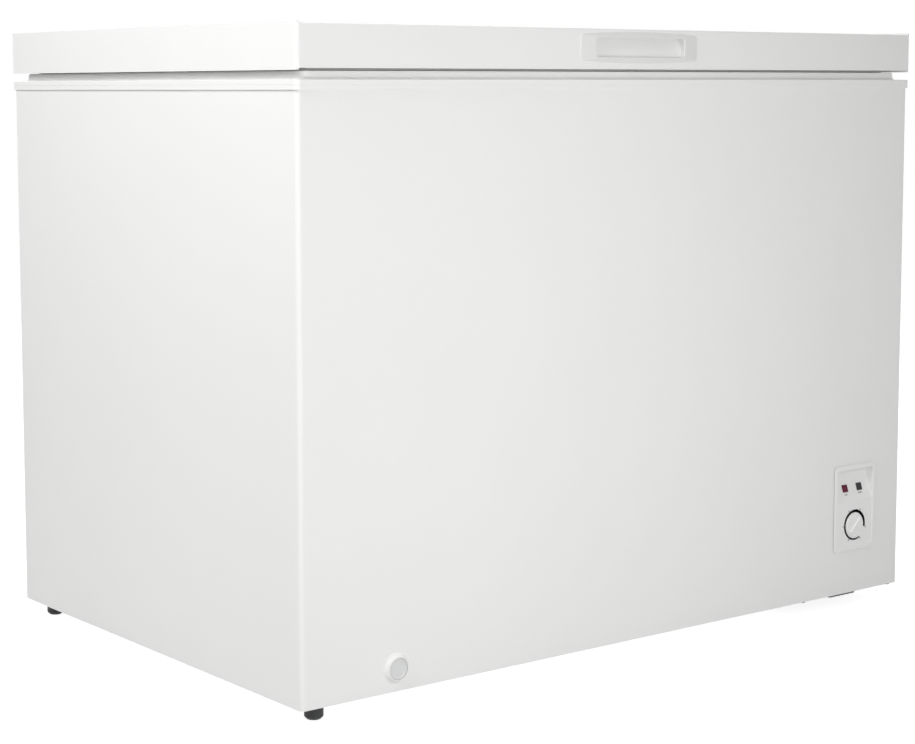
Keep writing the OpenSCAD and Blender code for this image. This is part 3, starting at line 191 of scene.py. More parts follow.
def cloudedMetal(name, tones, cloud, roughness):
    # drawn or turned metal under a thin plating or oxide that clouds its shine in small patches
    look = {"tones": tones, "roughness": roughness, "detail": 4.0, "scratch": 0.8 * mm, "strength": 0.12,
            "depth": 0.02 * mm}
    finish, place = startFinish(name, {"Metallic": 1.0})
    clouds = addNode(finish, "TexNoise", {"Vector": place, "Scale": 1 / cloud, "Detail": look["detail"]})
    scratches = addNode(finish, "TexNoise", {"Vector": place, "Scale": 1 / look["scratch"]})
    return patterned(finish, look, clouds, clouds, scratches)


def castAcrylic(name, tones):
    # dyed acrylic lens: deep colour under a clean face, with fine moulded prisms behind it
    look = {"tones": tones, "roughness": (0.25, 0.4), "prism": 1.2 * mm, "strength": 0.3, "depth": 0.05 * mm}
    return evenFinish(name, {"IOR": 1.49, "Specular IOR Level": 0.22}, look, look["prism"],
                      pattern="TexVoronoi", distance="CHEBYCHEV")


def dippedWire():
    # polyethylene dip on steel wire: thick, soft-edged and a little lumpy
    look = {"tones": ("E4E5E5", "EEEEED"), "roughness": (0.3, 0.42), "lump": 6 * mm, "strength": 0.3,
            "depth": 0.15 * mm}
    return evenFinish("dipCoatedWire", {"IOR": 1.51}, look, look["lump"])


def padPrint():
    # pad-printed ink: a thin matt film, very slightly uneven
    look = {"tones": ("070708", "0E0F0F"), "roughness": (0.55, 0.7), "film": 1.5 * mm}
    return evenFinish("padPrintedInk", {"IOR": 1.48, "Specular IOR Level": 0.25}, look, look["film"])


finishOf = {
    "painted_steel": bakedEnamel(),
    "galvanised_steel": galvanisedSheet(),
    "stucco_aluminium": stuccoAluminium(),
    "polyurethane_foam": pouredFoam(),
    "moulded_abs": mouldedAbs("mouldedWhiteAbs", ("EEEEED", "F1F1F0"), (0.38, 0.46)),
    "white_polystyrene": formedPolystyrene(),
    "grey_plastic": mouldedAbs("mouldedGreyAbs", ("D6D7D7", "DDDEDD"), (0.38, 0.46)),
    "grey_pvc": extrudedPvc(),
    "black_plastic": darkMoulding("mouldedBlackNylon", ("1C1D1E", "2A2B2C"), 1.2 * mm, (0.45, 0.62)),
    "black_rubber": darkMoulding("mouldedBlackRubber", ("151515", "202020"), 2.0 * mm, (0.7, 0.85)),
    "black_enamel": stovedEnamel(),
    "zinc_steel": cloudedMetal("zincPlatedSteel", ("A9ADB0", "C4C7C9"), 5 * mm, (0.26, 0.4)),
    "copper_tube": cloudedMetal("drawnCopper", ("A4633F", "C98560"), 9 * mm, (0.24, 0.42)),
    "aluminium_tube": cloudedMetal("drawnAluminium", ("B9BCBE", "CFD1D2"), 8 * mm, (0.3, 0.45)),
    "red_lens": castAcrylic("redAcrylic", ("4E041F", "680E31")),
    "smoke_lens": castAcrylic("smokedAcrylic", ("262929", "333636")),
    "coated_wire": dippedWire(),
}
# a darker copy of the white ABS for the grip's bezel: painted shade, so that the recess, in the plain white
# ABS of the same moulding, reads lighter
shadedGripAbs = mouldedAbs("mouldedGripAbsPaintedShade", ("E0E0DF", "E4E4E3"), (0.4, 0.5))
ink = padPrint()
print("finishes:", len(bpy.data.materials))


def placed(name, data):
    thing = bpy.data.objects.new(name, data)
    bpy.context.scene.collection.objects.link(thing)
    return thing


def meshOf(name, bm):
    mesh = bpy.data.meshes.new(name)
    bm.to_mesh(mesh)
    bm.free()
    return mesh


def finished(bm, node, name=None, finish=None, stands=True, crease=35, solid=True):
    # a smooth piece that rides its node's body; it stands for the node unless it only adds to it
    name = name or camel(node)
    if solid:
        bmesh.ops.recalc_face_normals(bm, faces=bm.faces)
    mesh = meshOf(name, bm)
    mesh.polygons.foreach_set("use_smooth", [True] * len(mesh.polygons))
    mesh.set_sharp_from_angle(angle=radians(crease))
    mesh.materials.append(finish or finishOf[slotOf[node]])
    piece = placed(name, mesh)
    piece.modifiers.new("evenShading", "WEIGHTED_NORMAL").keep_sharp = True
    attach(piece, bodyOf[node])
    if stands:
        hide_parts(node)
    return piece


def camel(node):
    first, *rest = node.split("_")
    return first + "".join(word.capitalize() for word in rest)


# points this near are one, edges this flat go, and edges this sharp and this near a face are rounded
fromSolid = {"weld": 0.004 * mm, "flat": 0.5, "sharp": 30, "near": 0.06 * mm, "segments": 3}
seamWeld = 0.002 * mm


def copied(node):
    bm = bmesh.new()
    bm.from_mesh(frame["nodes"][node].data)
    bmesh.ops.remove_doubles(bm, verts=bm.verts, dist=fromSolid["weld"])
    bmesh.ops.dissolve_limit(bm, angle_limit=radians(fromSolid["flat"]), verts=bm.verts, edges=bm.edges)
    return bm


def dressed(node, rounded=None, width=0.0):
    # the solid's own shape with the sharp edges of one face, (axis, place), rounded
    bm = copied(node)
    if rounded:
        axis, place = rounded
        chosen = [e for e in bm.edges
                  if len(e.link_faces) == 2 and e.calc_face_angle(0) > radians(fromSolid["sharp"])
                  and all(abs(v.co[axis] - place) < fromSolid["near"] for v in e.verts)]
        bmesh.ops.bevel(bm, geom=chosen, offset=width, segments=fromSolid["segments"],
                        profile=0.5, affect="EDGES", clamp_overlap=True)
    return finished(bm, node, solid=False)


def islandBoxes(node):
    # lowest and highest corner of each separate piece in a solid
    bm = copied(node)
    left = set(bm.verts)
    boxes = []
    while left:
        group = [left.pop()]
        for vert in group:
            near = {edge.other_vert(vert) for edge in vert.link_edges} & left
            left -= near
            group += near
        boxes.append([Vector([pick(v.co[k] for v in group) for k in range(3)]) for pick in (min, max)])
    bm.free()
    return sorted(boxes, key=lambda box: tuple(box[0]))


def softTurn(here, before, after, reach, segments):
    # a curve from one side of a corner to the other, kept just short of the middle of each
    reach = min(reach, 0.48 * before.length, 0.48 * after.length)
    start = here + before.normalized() * reach
    end = here + after.normalized() * reach
    return [start * (1 - t) ** 2 + here * 2 * t * (1 - t) + end * t ** 2
            for t in (k / segments for k in range(segments + 1))]


def blended(points, segments=4):
    # corners (u, v, radius) become a smooth outline
    line = []
    for i, (u, v, radius) in enumerate(points):
        here = Vector((u, v))
        if radius == 0:
            line.append(here)
            continue
        before = Vector(points[i - 1][:2]) - here
        after = Vector(points[(i + 1) % len(points)][:2]) - here
        line += softTurn(here, before, after, radius / tan(before.angle(after) / 2), segments)
    return line


def edged(corners, edges, segments=4, unit=mm):
    # the corners with a rounding for each
    return blended([(*corner, edge * unit) for corner, edge in zip(corners, edges)], segments)


def outline(lo, hi, insetX, insetY, radius, steps=8):
    points = []
    x0, x1 = lo[0] + insetX + radius, hi[0] - insetX - radius
    y0, y1 = lo[1] + insetY + radius, hi[1] - insetY - radius
    for cx, cy, start in ((x1, y1, 0), (x0, y1, 90), (x0, y0, 180), (x1, y0, 270)):
        for k in range(steps + 1):
            a = radians(start + 90 * k / steps)
            points.append((cx + radius * cos(a), cy + radius * sin(a)))
    return points


def bridge(bm, loops, closed=False):
    following = loops[1:] + (loops[:1] if closed else [])
    for a, b in zip(loops, following):
        for i in range(len(a)):
            j = (i + 1) % len(a)
            bm.faces.new((a[i], a[j], b[j], b[i]))


def sweep(bm, lo, hi, layers, closed=False, caps=(False, False), steps=8):
    # rounded rectangles of (insetX, insetY, height, radius), joined in turn
    loops = [[bm.verts.new((x, y, z)) for x, y in outline(lo, hi, insetX, insetY, radius, steps)]
             for insetX, insetY, z, radius in layers]
    bridge(bm, loops, closed)
    for loop, wanted in ((loops[0], caps[0]), (loops[-1], caps[1])):
        if wanted:
            bm.faces.new(loop)


def lathe(bm, profile, steps=48, wobble=None):
    # profile of (radius, height) turned about the upright axis, closed where the radius isn't over 0
    loops = []
    for radius, height in profile:
        if radius < seamWeld / 2:
            loops.append([bm.verts.new((0, 0, height))])
            continue
        ring = []
        for k in range(steps):
            a = 2 * pi * k / steps
            r = radius + (wobble(k, height) if wobble else 0)
            ring.append(bm.verts.new((r * cos(a), r * sin(a), height)))
        loops.append(ring)
    for a, b in zip(loops, loops[1:]):
        for i in range(steps):
            j = (i + 1) % steps
            corners = [a[i % len(a)], a[j % len(a)], b[j % len(b)], b[i % len(b)]]
            corners = [v for n, v in enumerate(corners) if v not in corners[:n]]
            if len(corners) > 2:
                bm.faces.new(corners)
    return loops


def turned(bm, matrix):
    bmesh.ops.transform(bm, matrix=matrix, verts=bm.verts)
    return bm


def poured(part, bm):
    # one finished part goes into a mesh of several
    made = meshOf("part", part)
    bm.from_mesh(made)
    bpy.data.meshes.remove(made)


def facing(x, y, z, tilt=0.0, spin=0.0):
    # stands a shape on the front, so that its height points out of the cabinet
    return (Matrix.Translation((x, y, z)) @ Matrix.Rotation(pi / 2 - tilt, 4, "X")
            @ Matrix.Rotation(spin, 4, "Z"))


def bentPath(points, radius, closed=False, segments=5):
    points = [Vector(point) for point in points]
    path = []
    for i, here in enumerate(points):
        before, after = points[i - 1] - here, points[(i + 1) % len(points)] - here
        atEnd = not closed and i in (0, len(points) - 1)
        path += [here] if atEnd else softTurn(here, before, after, radius, segments)
    return path


def coiled(x, y, z, radius, pitch, steps, count):
    # points of a coil that climbs by the pitch at each turn
    path = []
    for k in range(count):
        a = 2 * pi * k / steps
        path.append(Vector((x + radius * cos(a), y + radius * sin(a), z + pitch * k / steps)))
    return path


def wire(bm, path, radius, sides=8, closed=False):
    loops = []
    count = len(path)
    normal = None
    around = [2 * pi * k / sides for k in range(sides)]
    for i, here in enumerate(path):
        ahead = path[(i + 1) % count] if closed or i < count - 1 else here
        behind = path[i - 1] if closed or i > 0 else here
        along = (ahead - behind).normalized()
        if normal is None:
            normal = along.orthogonal().normalized()
        normal = (normal - along * normal.dot(along)).normalized()
        across = along.cross(normal)
        loops.append([bm.verts.new(here + radius * (cos(a) * normal + sin(a) * across)) for a in around])
    bridge(bm, loops, closed)
    if not closed:
        bm.faces.new(loops[0])
        bm.faces.new(loops[-1])


trimLo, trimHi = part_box("top_frame")
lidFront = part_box("lid_skin")[0].y
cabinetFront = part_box("outer_shell")[0].y

# the collar's section: inset from the outline and drop from its top, with the corner's rounding, in mm
collar = {
    "section": [(0, 22, 0.5), (0, 16.9, 0.12), (0.5, 16.9, 0.12), (0.5, 16.1, 0.12), (0, 16.1, 0.12),
                (0, 10, 1.0), (12.4, 10, 0.25), (12.4, 8, 0.5), (14, 8, 0.4), (14, 1.5, 0.3),
                (15.2, 1.5, 0.3), (15.2, 0, 0.5), (52, 0, 2.2), (52, 21, 1.2), (73.5, 21, 0.9),
                (73.5, 23.5, 0.3), (49.5, 23.5, 0), (49.5, 2.5, 0), (16.5, 2.5, 0), (16.5, 12.5, 0),
                (2.4, 12.5, 0), (2.4, 22, 0.3)],
    "corners": [  # each inset, and the radius of the plan's corners there
        (0, 7), (2.4, 6), (12.4, 13), (14, 12), (16.5, 10), (49.5, 20), (52, 18), (73.5, 30)],
    "steps": 10,
}


def collarTrim():
    def planRadius(inset):
        for (a, ra), (b, rb) in zip(collar["corners"], collar["corners"][1:]):
            if inset <= b:
                return ra + (rb - ra) * max(0, inset - a) / (b - a)
        return collar["corners"][-1][1]

    section = blended([(inset, -drop, rounding) for inset, drop, rounding in collar["section"]])
    layers = [(p.x * mm, p.x * mm, trimHi.z + p.y * mm, planRadius(p.x) * mm) for p in section]
    bm = bmesh.new()
    sweep(bm, trimLo, trimHi, layers, closed=True, steps=collar["steps"])
    finished(bm, "top_frame", "collarTrim")


shell = {"plain": ("outer_shell", "inner_liner", "back_panel", "bottom_panel", "foam_insulation",
                   "evaporator_tube", "condenser_tube", "drain_pipe", "thermostat", "thermostat_bulb",
                   "foot_nuts", "cord_gland", "compressor", "compressor_base_plate", "terminal_cover",
                   "suction_tube", "discharge_tube", "filter_drier", "capillary_tube"),
         # covers: the axis that the outer face looks along, and the rounding of its edges
         "covers": {"side_grille": (0, 0.5 * mm), "rear_bay_cover": (1, 0.35 * mm)}}


def cabinetShell():
    for node in shell["plain"]:
        dressed(node)
    for node, (axis, rounding) in shell["covers"].items():
        dressed(node, (axis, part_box(node)[1][axis]), rounding)


# edges: the rounding in mm of each corner of the section, from the bore's foot round to its top
grommet = {"bore": 3.1 * mm, "waist": 6 * mm, "collar": 9 * mm, "waistFrom": 0.73, "waistTo": 0.85,
           "edges": (0, 1, 1.2, 0.5, 0.5, 0.8, 1, 0)}


def grommets():
    bore, waist, collarR = grommet["bore"], grommet["waist"], grommet["collar"]
    bm = bmesh.new()
    for lo, hi in islandBoxes("compressor_grommets"):
        h = hi.z - lo.z
        r = (hi.x - lo.x) / 2
        low, high = h * grommet["waistFrom"], h * grommet["waistTo"]
        profile = edged([(bore, 0), (r, 0), (r, low), (waist, low), (waist, high), (collarR, high),
                         (collarR, h), (bore, h)], grommet["edges"])
        part = bmesh.new()
        lathe(part, [*profile, (bore, 0)])
        turned(part, Matrix.Translation(((lo.x + hi.x) / 2, (lo.y + hi.y) / 2, lo.z)))
        poured(part, bm)
    bmesh.ops.remove_doubles(bm, verts=bm.verts, dist=seamWeld)
    finished(bm, "compressor_grommets")


# pan-head screws: shares of the head's radius or height; each group's axis, sign and head height in mm
screw = {"arm": 0.55, "slot": 0.16, "deep": 0.5, "taper": 0.5, "shank": 0.5, "edge": 0.35, "rings": 9,
         "steps": 32, "crease": 28,
         "groups": {"compressor_bolts": (2, 1, 4.0), "base_plate_screws": (2, -1, 2.2),
                    "grille_screws": (0, 1, 2.0), "rear_cover_screws": (1, 1, 2.0),
                    "hinge_screws": (1, 1, 2.0), "lid_hinge_screws": (1, 1, 2.0)}}


def crossHead(place, radius, height, length):
    # domed head with a cross recess pressed in, on a plain shank that points down
    bm = bmesh.new()
    arm = screw["arm"] * radius
    loops = lathe(bm, [(radius * n / screw["rings"], 0) for n in range(screw["rings"] + 1)], screw["steps"])
    for loop in loops:
        for vert in loop:
            r = hypot(vert.co.x, vert.co.y)
            dome = screw["edge"] + (1 - screw["edge"]) * sqrt(max(0, 1 - (r / radius) ** 2))
            inside = min(abs(vert.co.x), abs(vert.co.y)) < screw["slot"] * radius and r < arm
            vert.co.z = height * (dome - (screw["deep"] * (1 - screw["taper"] * r / arm) if inside else 0))
    rim = loops[-1]
    below = [[bm.verts.new((v.co.x * share, v.co.y * share, z)) for v in rim]
             for share, z in ((1, 0), (screw["shank"], 0), (screw["shank"], -length))]
    bridge(bm, [rim, *below])
    bm.faces.new(below[-1])
    return turned(bm, place)


def screws():
    for node, (axis, sign, head) in screw["groups"].items():
        bm = bmesh.new()
        for lo, hi in islandBoxes(node):
            middle = (lo + hi) / 2
            across = 0 if axis else 1
            radius = (hi[across] - lo[across]) / 2
            outward = Vector([sign if k == axis else 0 for k in range(3)])
            middle[axis] = (hi if sign > 0 else lo)[axis] - sign * head * mm
            place = Matrix.Translation(middle) @ outward.to_track_quat("Z", "Y").to_matrix().to_4x4()
            poured(crossHead(place, radius, head * mm, hi[axis] - lo[axis] - head * mm), bm)
        finished(bm, node, crease=screw["crease"])


# a ribbed puck on a threaded stud; ribs: steps round to a rib, and how many of them are cut back
foot = {"puckTop": 26.5 * mm, "chamfer": 3.5 * mm, "edges": (0, 1.2, 1.5, 0.8, 0),
        "steps": 96, "ribs": (4, 2), "ribDepth": 0.22 * mm, "ribFrom": 5 * mm,
        "stud": 3.5 * mm, "studSteps": 24, "studTip": 0.5 * mm, "pitch": 1.25 * mm, "turnSteps": 16,
        "thread": 0.42 * mm, "threadSides": 5, "threadFrom": 0.4 * mm, "threadEnd": 0.6 * mm}


def feet():
    top, chamfer, stud, tip = foot["puckTop"], foot["chamfer"], foot["stud"], foot["studTip"]
    pitch, turn = foot["pitch"], foot["turnSteps"]
    every, cut = foot["ribs"]
    for node in ("foot_front_left", "foot_front_right", "foot_rear_left", "foot_rear_right"):
        lo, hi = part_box(node)
        place = Matrix.Translation(((lo.x + hi.x) / 2, (lo.y + hi.y) / 2, 0))
        radius = (hi.x - lo.x) / 2
        profile = edged([(0, lo.z), (radius - chamfer, lo.z), (radius, lo.z + chamfer), (radius, top),
                         (0, top)], foot["edges"])
        bm = bmesh.new()
        lathe(bm, profile, foot["steps"],
              lambda k, z: -foot["ribDepth"] if k % every < cut and z > lo.z + foot["ribFrom"] else 0)
        finished(turned(bm, place), node)
        bm = bmesh.new()
        shaft = [(0, top), (stud, top), (stud, hi.z - tip), (stud - tip, hi.z), (0, hi.z)]
        lathe(bm, shaft, foot["studSteps"])
        path = coiled(0, 0, top + foot["threadFrom"], stud, pitch, turn, int((hi.z - top) / pitch) * turn)
        wire(bm, [p for p in path if p.z < hi.z - foot["threadEnd"]], foot["thread"], foot["threadSides"])
        finished(turned(bm, place), node, camel(node) + "Stud", finishOf["zinc_steel"], stands=False)


collarTrim()
cabinetShell()
grommets()
screws()
feet()
print("cabinet dressed")

# radii and depths of the outlet ring and its cap; edges: the rounding in mm of each corner of their sections
drainParts = {"bore": 8.6 * mm, "pipeWall": 1.4 * mm, "baseEdge": 1.2 * mm, "lipIn": 1.2 * mm,
              "lipUp": 0.3 * mm, "rimWidth": 1.9 * mm, "capGap": 0.35 * mm, "well": 4 * mm,
              "ringEdges": (0, 0, 0, 0, 0.5, 0.4, 1.0, 0.3, 0, 0),
              "capSkirt": 3.4 * mm, "dish": 0.9 * mm, "dishRim": 3.2 * mm, "dishSlope": 0.56,
              "plugShare": 0.496, "capEdges": (0, 0.8, 0.6, 0.8, 0.3, 0.3, 0.8, 0),
              "steps": 64}


def drain():
    look = drainParts
    lo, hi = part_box("drain_outlet_ring")
    capLo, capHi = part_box("drain_cap")
    place = facing((lo.x + hi.x) / 2, cabinetFront, (lo.z + hi.z) / 2)
    proud = cabinetFront - lo.y
    back = cabinetFront - hi.y
    ringR = (hi.x - lo.x) / 2
    capR = (capHi.x - capLo.x) / 2
    bore, tube, mouth = look["bore"], look["bore"] + look["pipeWall"], capR + look["capGap"]
    base, well = look["baseEdge"], proud - look["well"]
    rim = edged([(bore, back), (tube, back), (tube, 0), (ringR, 0), (ringR, base),
                 (ringR - look["lipIn"], base + look["lipUp"]), (capR + look["rimWidth"], proud),
                 (mouth, proud), (mouth, well), (bore, well)], look["ringEdges"])
    bm = bmesh.new()
    lathe(bm, [*rim, (bore, back)], look["steps"])
    bmesh.ops.remove_doubles(bm, verts=bm.verts, dist=seamWeld)
    finished(turned(bm, place), "drain_outlet_ring")
    face = cabinetFront - capLo.y
    floor, skirt = face - look["dish"], face - look["capSkirt"]
    plugR, plugEnd = capR * look["plugShare"], cabinetFront - capHi.y
    dish = look["dishRim"]
    cap = edged([(0, floor), (capR - dish, floor), (capR - look["dishSlope"] * dish, face), (capR, face),
                 (capR, skirt), (plugR, skirt), (plugR, plugEnd), (0, plugEnd)], look["capEdges"])
    bm = bmesh.new()
    lathe(bm, cap, look["steps"])
    finished(turned(bm, place), "drain_cap")
    dressed("drain_stopper")


drain()
print("drain dressed")

# distances from the panel's outline and, for depths, behind the cabinet's painted front
panel = {"corner": 6 * mm, "rim": 7 * mm, "proud": 2 * mm, "bevel": 1.9 * mm, "gap": 1.2 * mm, "neck": 4 * mm,
         "mouth": 2.5 * mm, "edge": 0.5 * mm, "arc": 6, "face": -1.2 * mm, "slopeStart": 1 * mm,
         "slopeDepth": 13 * mm, "slopeHeight": 41 * mm, "step": 6 * mm, "stepCurve": 1.3, "stepBends": 4,
         "cove": 2.2 * mm, "coveBends": 8, "back": 20 * mm, "crease": 30}


def controlPanel():
    # overlapping rim with a shadow gap behind it, and a recess whose upper part slopes inwards
    lo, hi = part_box("control_panel")
    face, step, cove, arc = panel["face"], panel["step"], panel["cove"], panel["arc"]
    bevel, corner, rim = panel["bevel"], panel["corner"], panel["rim"]
    neck, mouth, edge = panel["neck"], panel["mouth"], panel["edge"]
    slopeTop = hi.z - rim
    slopeLow = slopeTop - panel["slopeHeight"]
    coveStart = slopeTop - cove

    def recessDepth(z):
        if z < slopeLow - step:
            return face
        if z < slopeLow:
            climb = max(0, z - slopeLow + step) / step
            return face + (panel["slopeStart"] - face) * climb ** panel["stepCurve"]
        share = (min(z, coveStart) - slopeLow) / panel["slopeHeight"]
        climb = max(0, z - coveStart) / cove
        rise = cove * (1 - sqrt(max(0, 1 - climb * climb)))
        return panel["slopeStart"] + panel["slopeDepth"] * share - rise

    bends = [slopeLow - step * (1 - k / panel["stepBends"]) for k in range(panel["stepBends"] + 1)]
    coveBends = panel["coveBends"]
    bends += [coveStart + cove * sin(pi / 2 * k / coveBends) for k in range(coveBends)]
    bends = [z for z in bends if lo.z + rim + corner < z < slopeTop - mouth]
    quarter = [pi / 2 * k / arc for k in range(arc + 1)]

    def loop(inset, radius, depth):
        # points (x, z) up the right-hand side and, mirrored, down the left
        x, z0, z1 = hi.x - inset, lo.z + inset, hi.z - inset
        side = [(x - radius + radius * sin(a), z0 + radius - radius * cos(a)) for a in quarter]
        side += [(x, z) for z in bends if z0 + radius < z < z1 - radius]
        side += [(x - radius + radius * cos(a), z1 - radius + radius * sin(a)) for a in quarter]
        side += [(lo.x + hi.x - x, z) for x, z in reversed(side)]
        return [bm.verts.new((x, cabinetFront + (depth(z) if callable(depth) else depth), z))
                for x, z in side]

    bm = bmesh.new()
    back, front = -panel["gap"], -panel["proud"]
    layers = [(neck, corner - neck, panel["back"]), (neck, corner - neck, back),
              (0.4 * edge, corner, back), (0, corner, back - 0.3 * edge), (0.6 * edge, corner, front + edge),
              (bevel, corner, front + 0.1 * edge), (bevel + edge, corner, front),
              (rim - 1.4 * edge, mouth + 1.4 * edge, front),
              (rim - 0.4 * edge, mouth + 0.4 * edge, front + 0.3 * edge),
              (rim, mouth, front + edge), (rim, mouth, recessDepth)]
    loops = [loop(*layer) for layer in layers]
    bridge(bm, loops)
    inner = loops[-1]
    half = len(inner) // 2
    for i in range(half - 1):
        bm.faces.new((inner[i], inner[i + 1], inner[-i - 2], inner[-i - 1]))
    bm.faces.new(loops[0])
    tree = BVHTree.FromBMesh(bm)
    finished(bm, "control_panel", crease=panel["crease"])
    return tree


def onPanel(x, z, lift=0.05 * mm, away=100 * mm):
    # the point just off the panel's moulded face, straight behind (x, z) on the front
    hit, normal, _, _ = panelTree.ray_cast(Vector((x, cabinetFront - away, z)), Vector((0, 1, 0)))
    return hit + normal * copysign(lift, -normal.y)


# crown: inset and drop of each ring of the lens's rounded top, in mm
lamp = {"side": 11 * mm, "seat": -3.2 * mm, "corner": 0.8 * mm, "proud": 1.2 * mm, "fromTop": 34.5 * mm,
        "crown": ((0, 0.7), (0.15, 0.35), (0.5, 0.1), (1.2, 0)), "steps": 4}
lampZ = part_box("control_panel")[1].z - lamp["fromTop"]


def lampLens(node):
    lo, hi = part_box(node)
    x = (lo.x + hi.x) / 2
    tilt = atan2(panel["slopeDepth"], panel["slopeHeight"])
    corner = Vector((-lamp["side"] / 2, -lamp["side"] / 2, 0))
    layers = [(0, 0, lamp["seat"], lamp["corner"])]
    layers += [(inset * mm, inset * mm, lamp["proud"] - drop * mm, lamp["corner"])
               for inset, drop in lamp["crown"]]
    bm = bmesh.new()
    sweep(bm, corner, -corner, layers, caps=(True, True), steps=lamp["steps"])
    finished(turned(bm, facing(x, onPanel(x, lampZ).y, lampZ, tilt)), node)
    return x


# a flat disc on a stem with a finger ridge; ridgeTop: inset, drop and corner of its upper rings, in mm
knobShape = {"back": 4.4 * mm, "face": 1.4 * mm, "dish": 0.08 * mm, "rim": 2.5 * mm,
             "chamfer": (0.9 * mm, 0.8 * mm), "stem": 3 * mm,
             "edges": (0, 0.6, 0.5, 0.5, 0.2, 0.2, 0.5, 0), "steps": 96,
             "ridge": (13.5 * mm, 1.5 * mm), "ridgeFoot": 1.0 * mm, "ridgeCorner": 1.2 * mm, "lead": 0.1 * mm,
             "ridgeProud": 2.0 * mm, "ridgeTop": ((0.35, 0.5, 1.0), (0.7, 0.1, 0.7), (1.0, 0, 0.45)),
             "ridgeSteps": 5, "spin": 45}


def knob():
    look = knobShape
    lo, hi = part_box("thermostat_knob")
    x, z = (lo.x + hi.x) / 2, (lo.z + hi.z) / 2
    radius = (hi.x - lo.x) / 2
    back = lo.y + look["back"]
    face, stem, end = look["face"], look["stem"], -(hi.y - back)
    chamferIn, chamferDown = look["chamfer"]
    disc = edged([(0, face - look["dish"]), (radius - look["rim"], face), (radius - chamferIn, face),
                  (radius, face - chamferDown), (radius, 0), (stem, 0), (stem, end), (0, end)], look["edges"])
    bm = bmesh.new()
    lathe(bm, disc, look["steps"])
    corner = Vector((-look["ridge"][0], -look["ridge"][1], 0))
    top, lead = face + look["ridgeProud"], look["lead"]
    layers = [(0, 0, look["ridgeFoot"], look["ridgeCorner"]), (lead, lead, face + lead, look["ridgeCorner"])]
    layers += [(inset * mm, inset * mm, top - drop * mm, r * mm) for inset, drop, r in look["ridgeTop"]]
    sweep(bm, corner, -corner, layers, caps=(True, True), steps=look["ridgeSteps"])
    turned(bm, facing(x, back, z, spin=radians(look["spin"])))
    finished(bm, "thermostat_knob")
    return x, z


# the printed scale: a band between two angles in degrees, thicker clockwise, and ticks at hours outside it
dial = {"radius": 22.4 * mm, "thin": 2.3 * mm, "gain": 2.7 * mm, "swell": 0.9, "from": 300, "to": -13,
        "steps": 100, "ticks": (5, 7, 9, 11, 1, 3.45), "tickWidth": 1.5 * mm, "tickFrom": 0.9 * mm,
        "tickTo": 3.0 * mm}
labels = {"size": 3.5 * mm, "weight": 0.03, "curveSteps": 3, "drop": 9.6 * mm, "words": ("ON", "RUN")}


def dialPrint(cx, cz):
    bm = bmesh.new()

    def patch(corners):
        bm.faces.new([bm.verts.new(onPanel(x, z)) for x, z in corners])

    for k in range(dial["steps"]):
        corners = []
        for n, outer in ((k, True), (k + 1, True), (k + 1, False), (k, False)):
            t = n / dial["steps"]
            a = radians(dial["from"] + (dial["to"] - dial["from"]) * t)
            r = dial["radius"] - (0 if outer else dial["thin"] + dial["gain"] * t ** dial["swell"])
            corners.append((cx + r * cos(a), cz + r * sin(a)))
        patch(corners)
    middle = Vector((cx, cz))
    for hour in dial["ticks"]:
        a = radians(90 - 30 * hour)
        out, side = Vector((cos(a), sin(a))), Vector((-sin(a), cos(a)))
        side = side * dial["tickWidth"] / 2
        near = middle + out * (dial["radius"] + dial["tickFrom"])
        far = middle + out * (dial["radius"] + dial["tickTo"])
        patch([near - side, far - side, far + side, near + side])
    bmesh.ops.remove_doubles(bm, verts=bm.verts, dist=seamWeld / 2)
    finished(bm, "control_panel", "dialBand", ink, stands=False, solid=False)


def lampLabels(places):
    bm = bmesh.new()
    for word, x in zip(labels["words"], places):
        curve = bpy.data.curves.new("lampLabel", "FONT")
        curve.body = word
        curve.size = labels["size"]
        curve.align_x = "CENTER"
        curve.offset = labels["weight"] * labels["size"]
        curve.resolution_u = labels["curveSteps"]
        holder = placed("lampLabelDraft", curve)
        first = len(bm.verts)
        bm.from_mesh(holder.evaluated_get(bpy.context.evaluated_depsgraph_get()).to_mesh())
        bm.verts.ensure_lookup_table()
        for vert in bm.verts[first:]:
            vert.co = onPanel(x + vert.co.x, lampZ - labels["drop"] + vert.co.y)
        bpy.data.objects.remove(holder)
        bpy.data.curves.remove(curve)
    bmesh.ops.recalc_face_normals(bm, faces=bm.faces)
    finished(bm, "control_panel", "lampLabels", ink, stands=False, solid=False)


panelTree = controlPanel()
lampPlaces = [lampLens(node) for node in ("power_lamp_lens", "run_lamp_lens")]
dialPrint(*knob())
lampLabels(lampPlaces)
print("control panel dressed")

# in mm: heights below the panel's top, insets from the common outline, rounding of each edge of the section
innerPanel = {"sheet": 1.4, "rimDrop": 7.7, "roofDrop": 1.5, "rimInset": 20, "rimLap": 2, "wallInset": 56.5,
              "groove": (96, 110), "grooveDepth": 1.0, "grooveSlope": 3, "field": 30,
              "edges": (0, 0.8, 0.8, 2, 7, 2, 2, 2, 2, 0), "edgeSteps": 5,
              # the plan's corner: at the sheet's edge, and from which inset it grows, how fast and how far
              "sheetEdge": (3.6, 6), "corner": 12, "cornerFrom": 20.5, "cornerGain": 0.5, "cornerMost": 30,
              "cornerSteps": 10}


